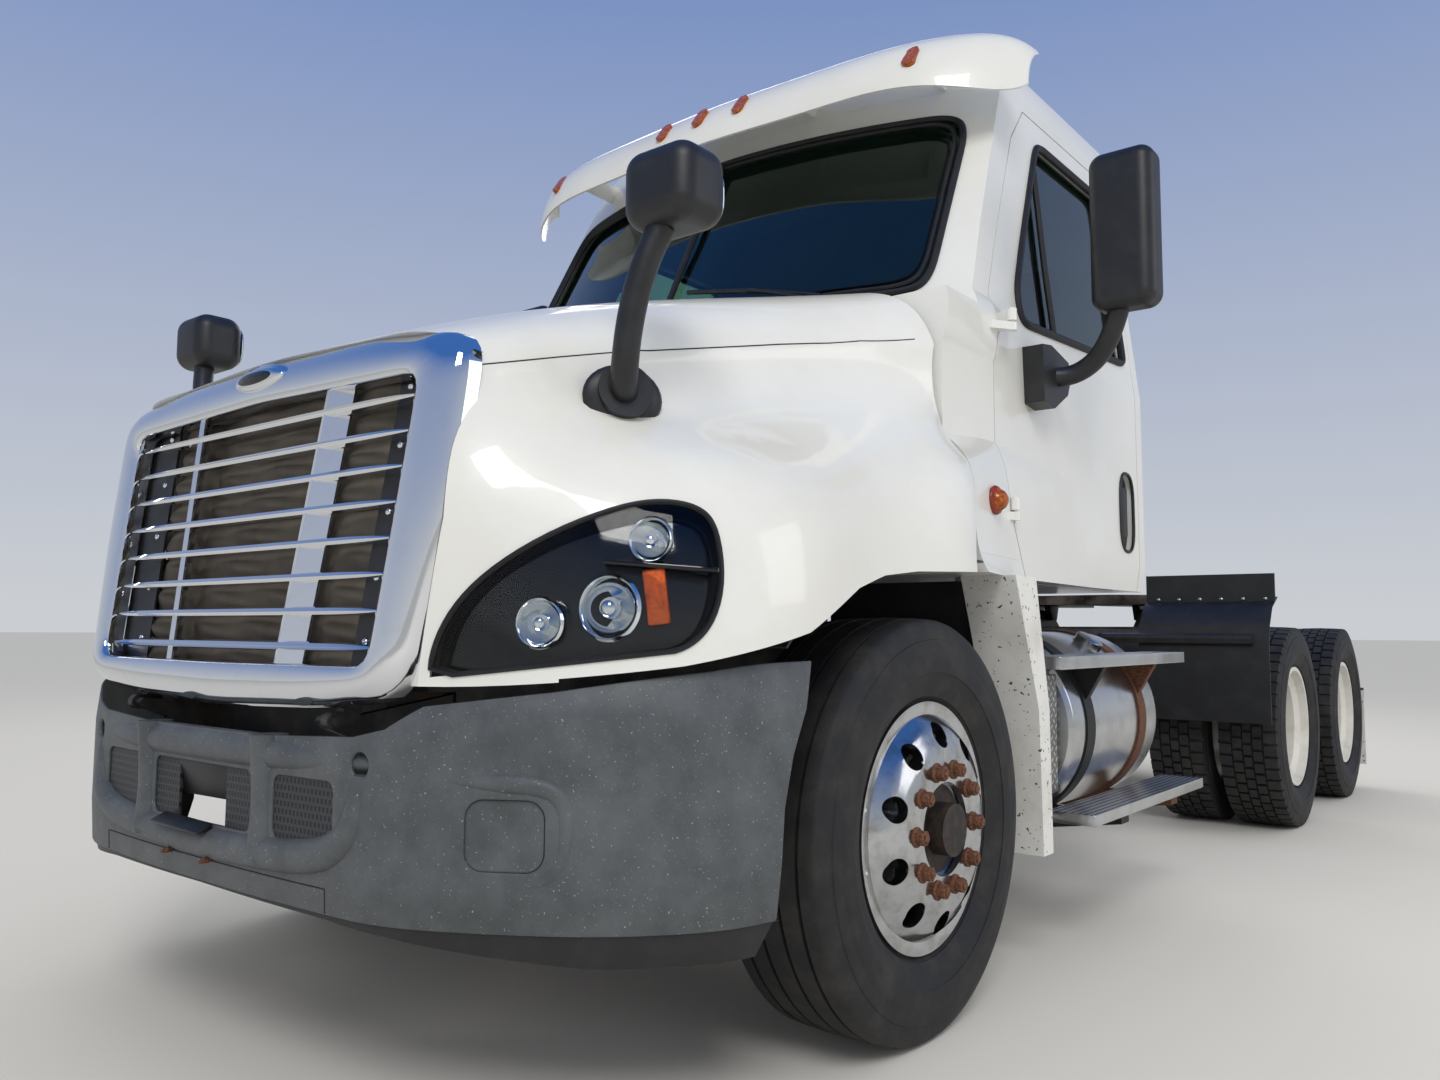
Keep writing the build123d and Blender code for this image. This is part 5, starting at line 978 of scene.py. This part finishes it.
def cured(tyre):
    """Shade a tyre smoothly and give it its rubber."""
    only(tyre)
    bpy.ops.object.shade_smooth_by_angle(angle=radians(38))
    tyre.data.materials.append(rubber)


wall_left = [(-x, r) for x, r in reversed(TYRE_WALL)]
rib_tread = [(0.118, crown(0.118))]
for groove_x in GROOVES:
    rib_tread += [(groove_x + GROOVE_HALF, crown(groove_x)), (groove_x + GROOVE_HALF * 0.7, GROOVE_FLOOR),
                  (groove_x - GROOVE_HALF * 0.7, GROOVE_FLOOR), (groove_x - GROOVE_HALF, crown(groove_x))]
rib_tread.append((-0.118, crown(0.118)))
rib_tyre = turned("rib_tyre", TYRE_WALL + rib_tread + wall_left, steps=144)
cured(rib_tyre)

block_tyre = turned("block_tyre", TYRE_WALL[:-1] + BLOCK_BASE + wall_left[1:], steps=108)
for row_x, row_width, row_shift in BLOCK_ROWS:
    tread_block = started(bpy.ops.mesh.primitive_cube_add, size=1, location=(row_x, 0, 0.492))
    tread_block.scale = (row_width, 0.047, 0.020)
    bpy.ops.object.transform_apply(location=True, rotation=True, scale=True)
    for vertex in tread_block.data.vertices:
        if vertex.co.z > 0.49:
            vertex.co.z = crown(vertex.co.x) + 0.0005
        elif abs(vertex.co.x) > 0.12:
            vertex.co.x *= 1.05
            vertex.co.z = 0.462
    bpy.ops.object.mode_set(mode="EDIT")
    bpy.ops.mesh.select_all(action="SELECT")
    bpy.ops.transform.rotate(value=2 * pi / BLOCK_PITCHES * row_shift, orient_axis="X",
                             center_override=(0, 0, 0))
    bpy.ops.mesh.spin(steps=BLOCK_PITCHES, dupli=True, angle=2 * pi, center=(0, 0, 0), axis=(1, 0, 0))
    bpy.ops.mesh.select_all(action="SELECT")
    bpy.ops.mesh.remove_doubles(threshold=0.00001)
    bpy.ops.object.mode_set(mode="OBJECT")
    joined("block_tyre", [block_tyre, tread_block])
cured(block_tyre)

STEER_X, TWIN_X = 1.035, (("outer", 1.080), ("inner", 0.744))
DRIVE_AXLES = (("front", 3.830), ("rear", 5.151))
for side, s in SIDES:
    steer_tyre = placed(rib_tyre, "tread_steer_" + side, at(s * STEER_X, 0, TYRE_RADIUS),
                        "wheel_steer_" + side)
    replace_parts(steer_tyre, "tyre_steer_" + side)
    for axle, axle_y in DRIVE_AXLES:
        for twin_name, twin_x in TWIN_X:
            drive_tyre = placed(block_tyre, f"tread_drive_{axle}_{twin_name}_{side}",
                                at(s * twin_x, axle_y, TYRE_RADIUS), f"wheels_drive_{axle}_{side}")
            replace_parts(drive_tyre, f"tyres_drive_{axle}_{side}")
bpy.data.objects.remove(rib_tyre)
bpy.data.objects.remove(block_tyre)

# Wheels. Forged aluminium discs in front, polished bright, and pressed steel ones at the back under pale
# enamel. Each is held by ten flange nuts, red with rust, round a cast hub that is dark with oil.
polished_wheel, _ = mottled("polished_forged_aluminium", "#b9bbbd", 0.16, ("#bcbec0", "#97938c"), 0.06,
                            (0.45, 0.75), metallic=1.0)
wheel_enamel, _ = mottled("pale_wheel_enamel", "#cfccc2", 0.4, ("#dcdad3", "#bdb8ad"), 0.09, (0.5, 0.85))
dark_iron, _ = mottled("oily_cast_iron", "#26211d", 0.6, ("#1a1714", "#4a3527"), 0.03)
NUT_CIRCLE, NUTS = 0.285750 / 2, 10
# Where the nuts seat, outwards from the middle of the steered wheel and of the outer driven one.
STEER_FACE_X, DRIVE_FACE_X = 0.168, -0.145


def nut_ring(name, face_x):
    """Hexagon flange nuts with their stud ends on the wheel's bolt circle, each turned its own way."""
    flange = turned("flange", [(0.0, 0.0), (0.0, 0.0235), (0.003, 0.0235), (0.006, 0.020), (0.006, 0.0)],
                    steps=20)
    stud = turned("stud", [(0.0, 0.0), (0.0, 0.0105), (0.028, 0.0105), (0.030, 0.008), (0.030, 0.0)],
                  steps=12)
    hexagon = started(bpy.ops.mesh.primitive_cylinder_add, vertices=6, radius=0.0185, depth=0.020,
                      location=(0.015, 0, 0), rotation=(0, pi / 2, 0))
    bpy.ops.object.transform_apply(location=True, rotation=True, scale=True)
    ease_edges(hexagon, 0.0018)
    nut = joined(name, [flange, stud, hexagon])
    ring = []
    for number in range(NUTS):
        twin = nut.copy()
        twin.data = nut.data.copy()
        bpy.context.collection.objects.link(twin)
        twin.data.transform(Matrix.Rotation(2 * pi / NUTS * (number + 0.5), 4, "X")
                            @ Matrix.Translation((face_x, 0, NUT_CIRCLE))
                            @ Matrix.Rotation(number * 1.3, 4, "X"))
        ring.append(twin)
    bpy.data.objects.remove(nut)
    nuts = joined(name, ring)
    bpy.ops.object.shade_smooth_by_angle(angle=radians(35))
    nuts.data.materials.append(rusty_steel)
    return nuts


def oily_hub(piece, wheel_x=0.0):
    """Give a hub its oily iron, by distance from the axis, and sink a front hub's shoulder in the bore."""
    piece.data.materials.append(dark_iron)
    box_low, box_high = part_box(piece.name.replace("_skin", ""))
    axis_y, axis_z = (box_low[1] + box_high[1]) / 2, (box_low[2] + box_high[2]) / 2

    def reach(place):
        return sqrt((place.y - axis_y) ** 2 + (place.z - axis_z) ** 2)

    if wheel_x:
        for vertex in piece.data.vertices:
            out = abs(vertex.co.x) - wheel_x
            if reach(vertex.co) < 0.106 and 0.172 < out < 0.190:
                vertex.co.x -= copysign(0.032, vertex.co.x)
            elif reach(vertex.co) < 0.066 and out > 0.19:
                vertex.co.x -= copysign(0.018, vertex.co.x)
    for face in piece.data.polygons:
        if max(reach(piece.data.vertices[v].co) for v in face.vertices) < 0.1065:
            face.material_index = 1


steer_nuts = nut_ring("steer_nuts", STEER_FACE_X)
drive_nuts = nut_ring("drive_nuts", DRIVE_FACE_X)
for side, s in SIDES:
    facing = 0 if s > 0 else pi
    oily_hub(skin("rim_steer_" + side, polished_wheel), wheel_x=STEER_X)
    placed(steer_nuts, "nuts_steer_" + side, at(s * STEER_X, 0, TYRE_RADIUS), "wheel_steer_" + side, facing)
    for axle, axle_y in DRIVE_AXLES:
        oily_hub(skin(f"rims_drive_{axle}_{side}", wheel_enamel))
        placed(drive_nuts, f"nuts_drive_{axle}_{side}", at(s * TWIN_X[0][1], axle_y, TYRE_RADIUS),
               f"wheels_drive_{axle}_{side}", facing)
bpy.data.objects.remove(steer_nuts)
bpy.data.objects.remove(drive_nuts)
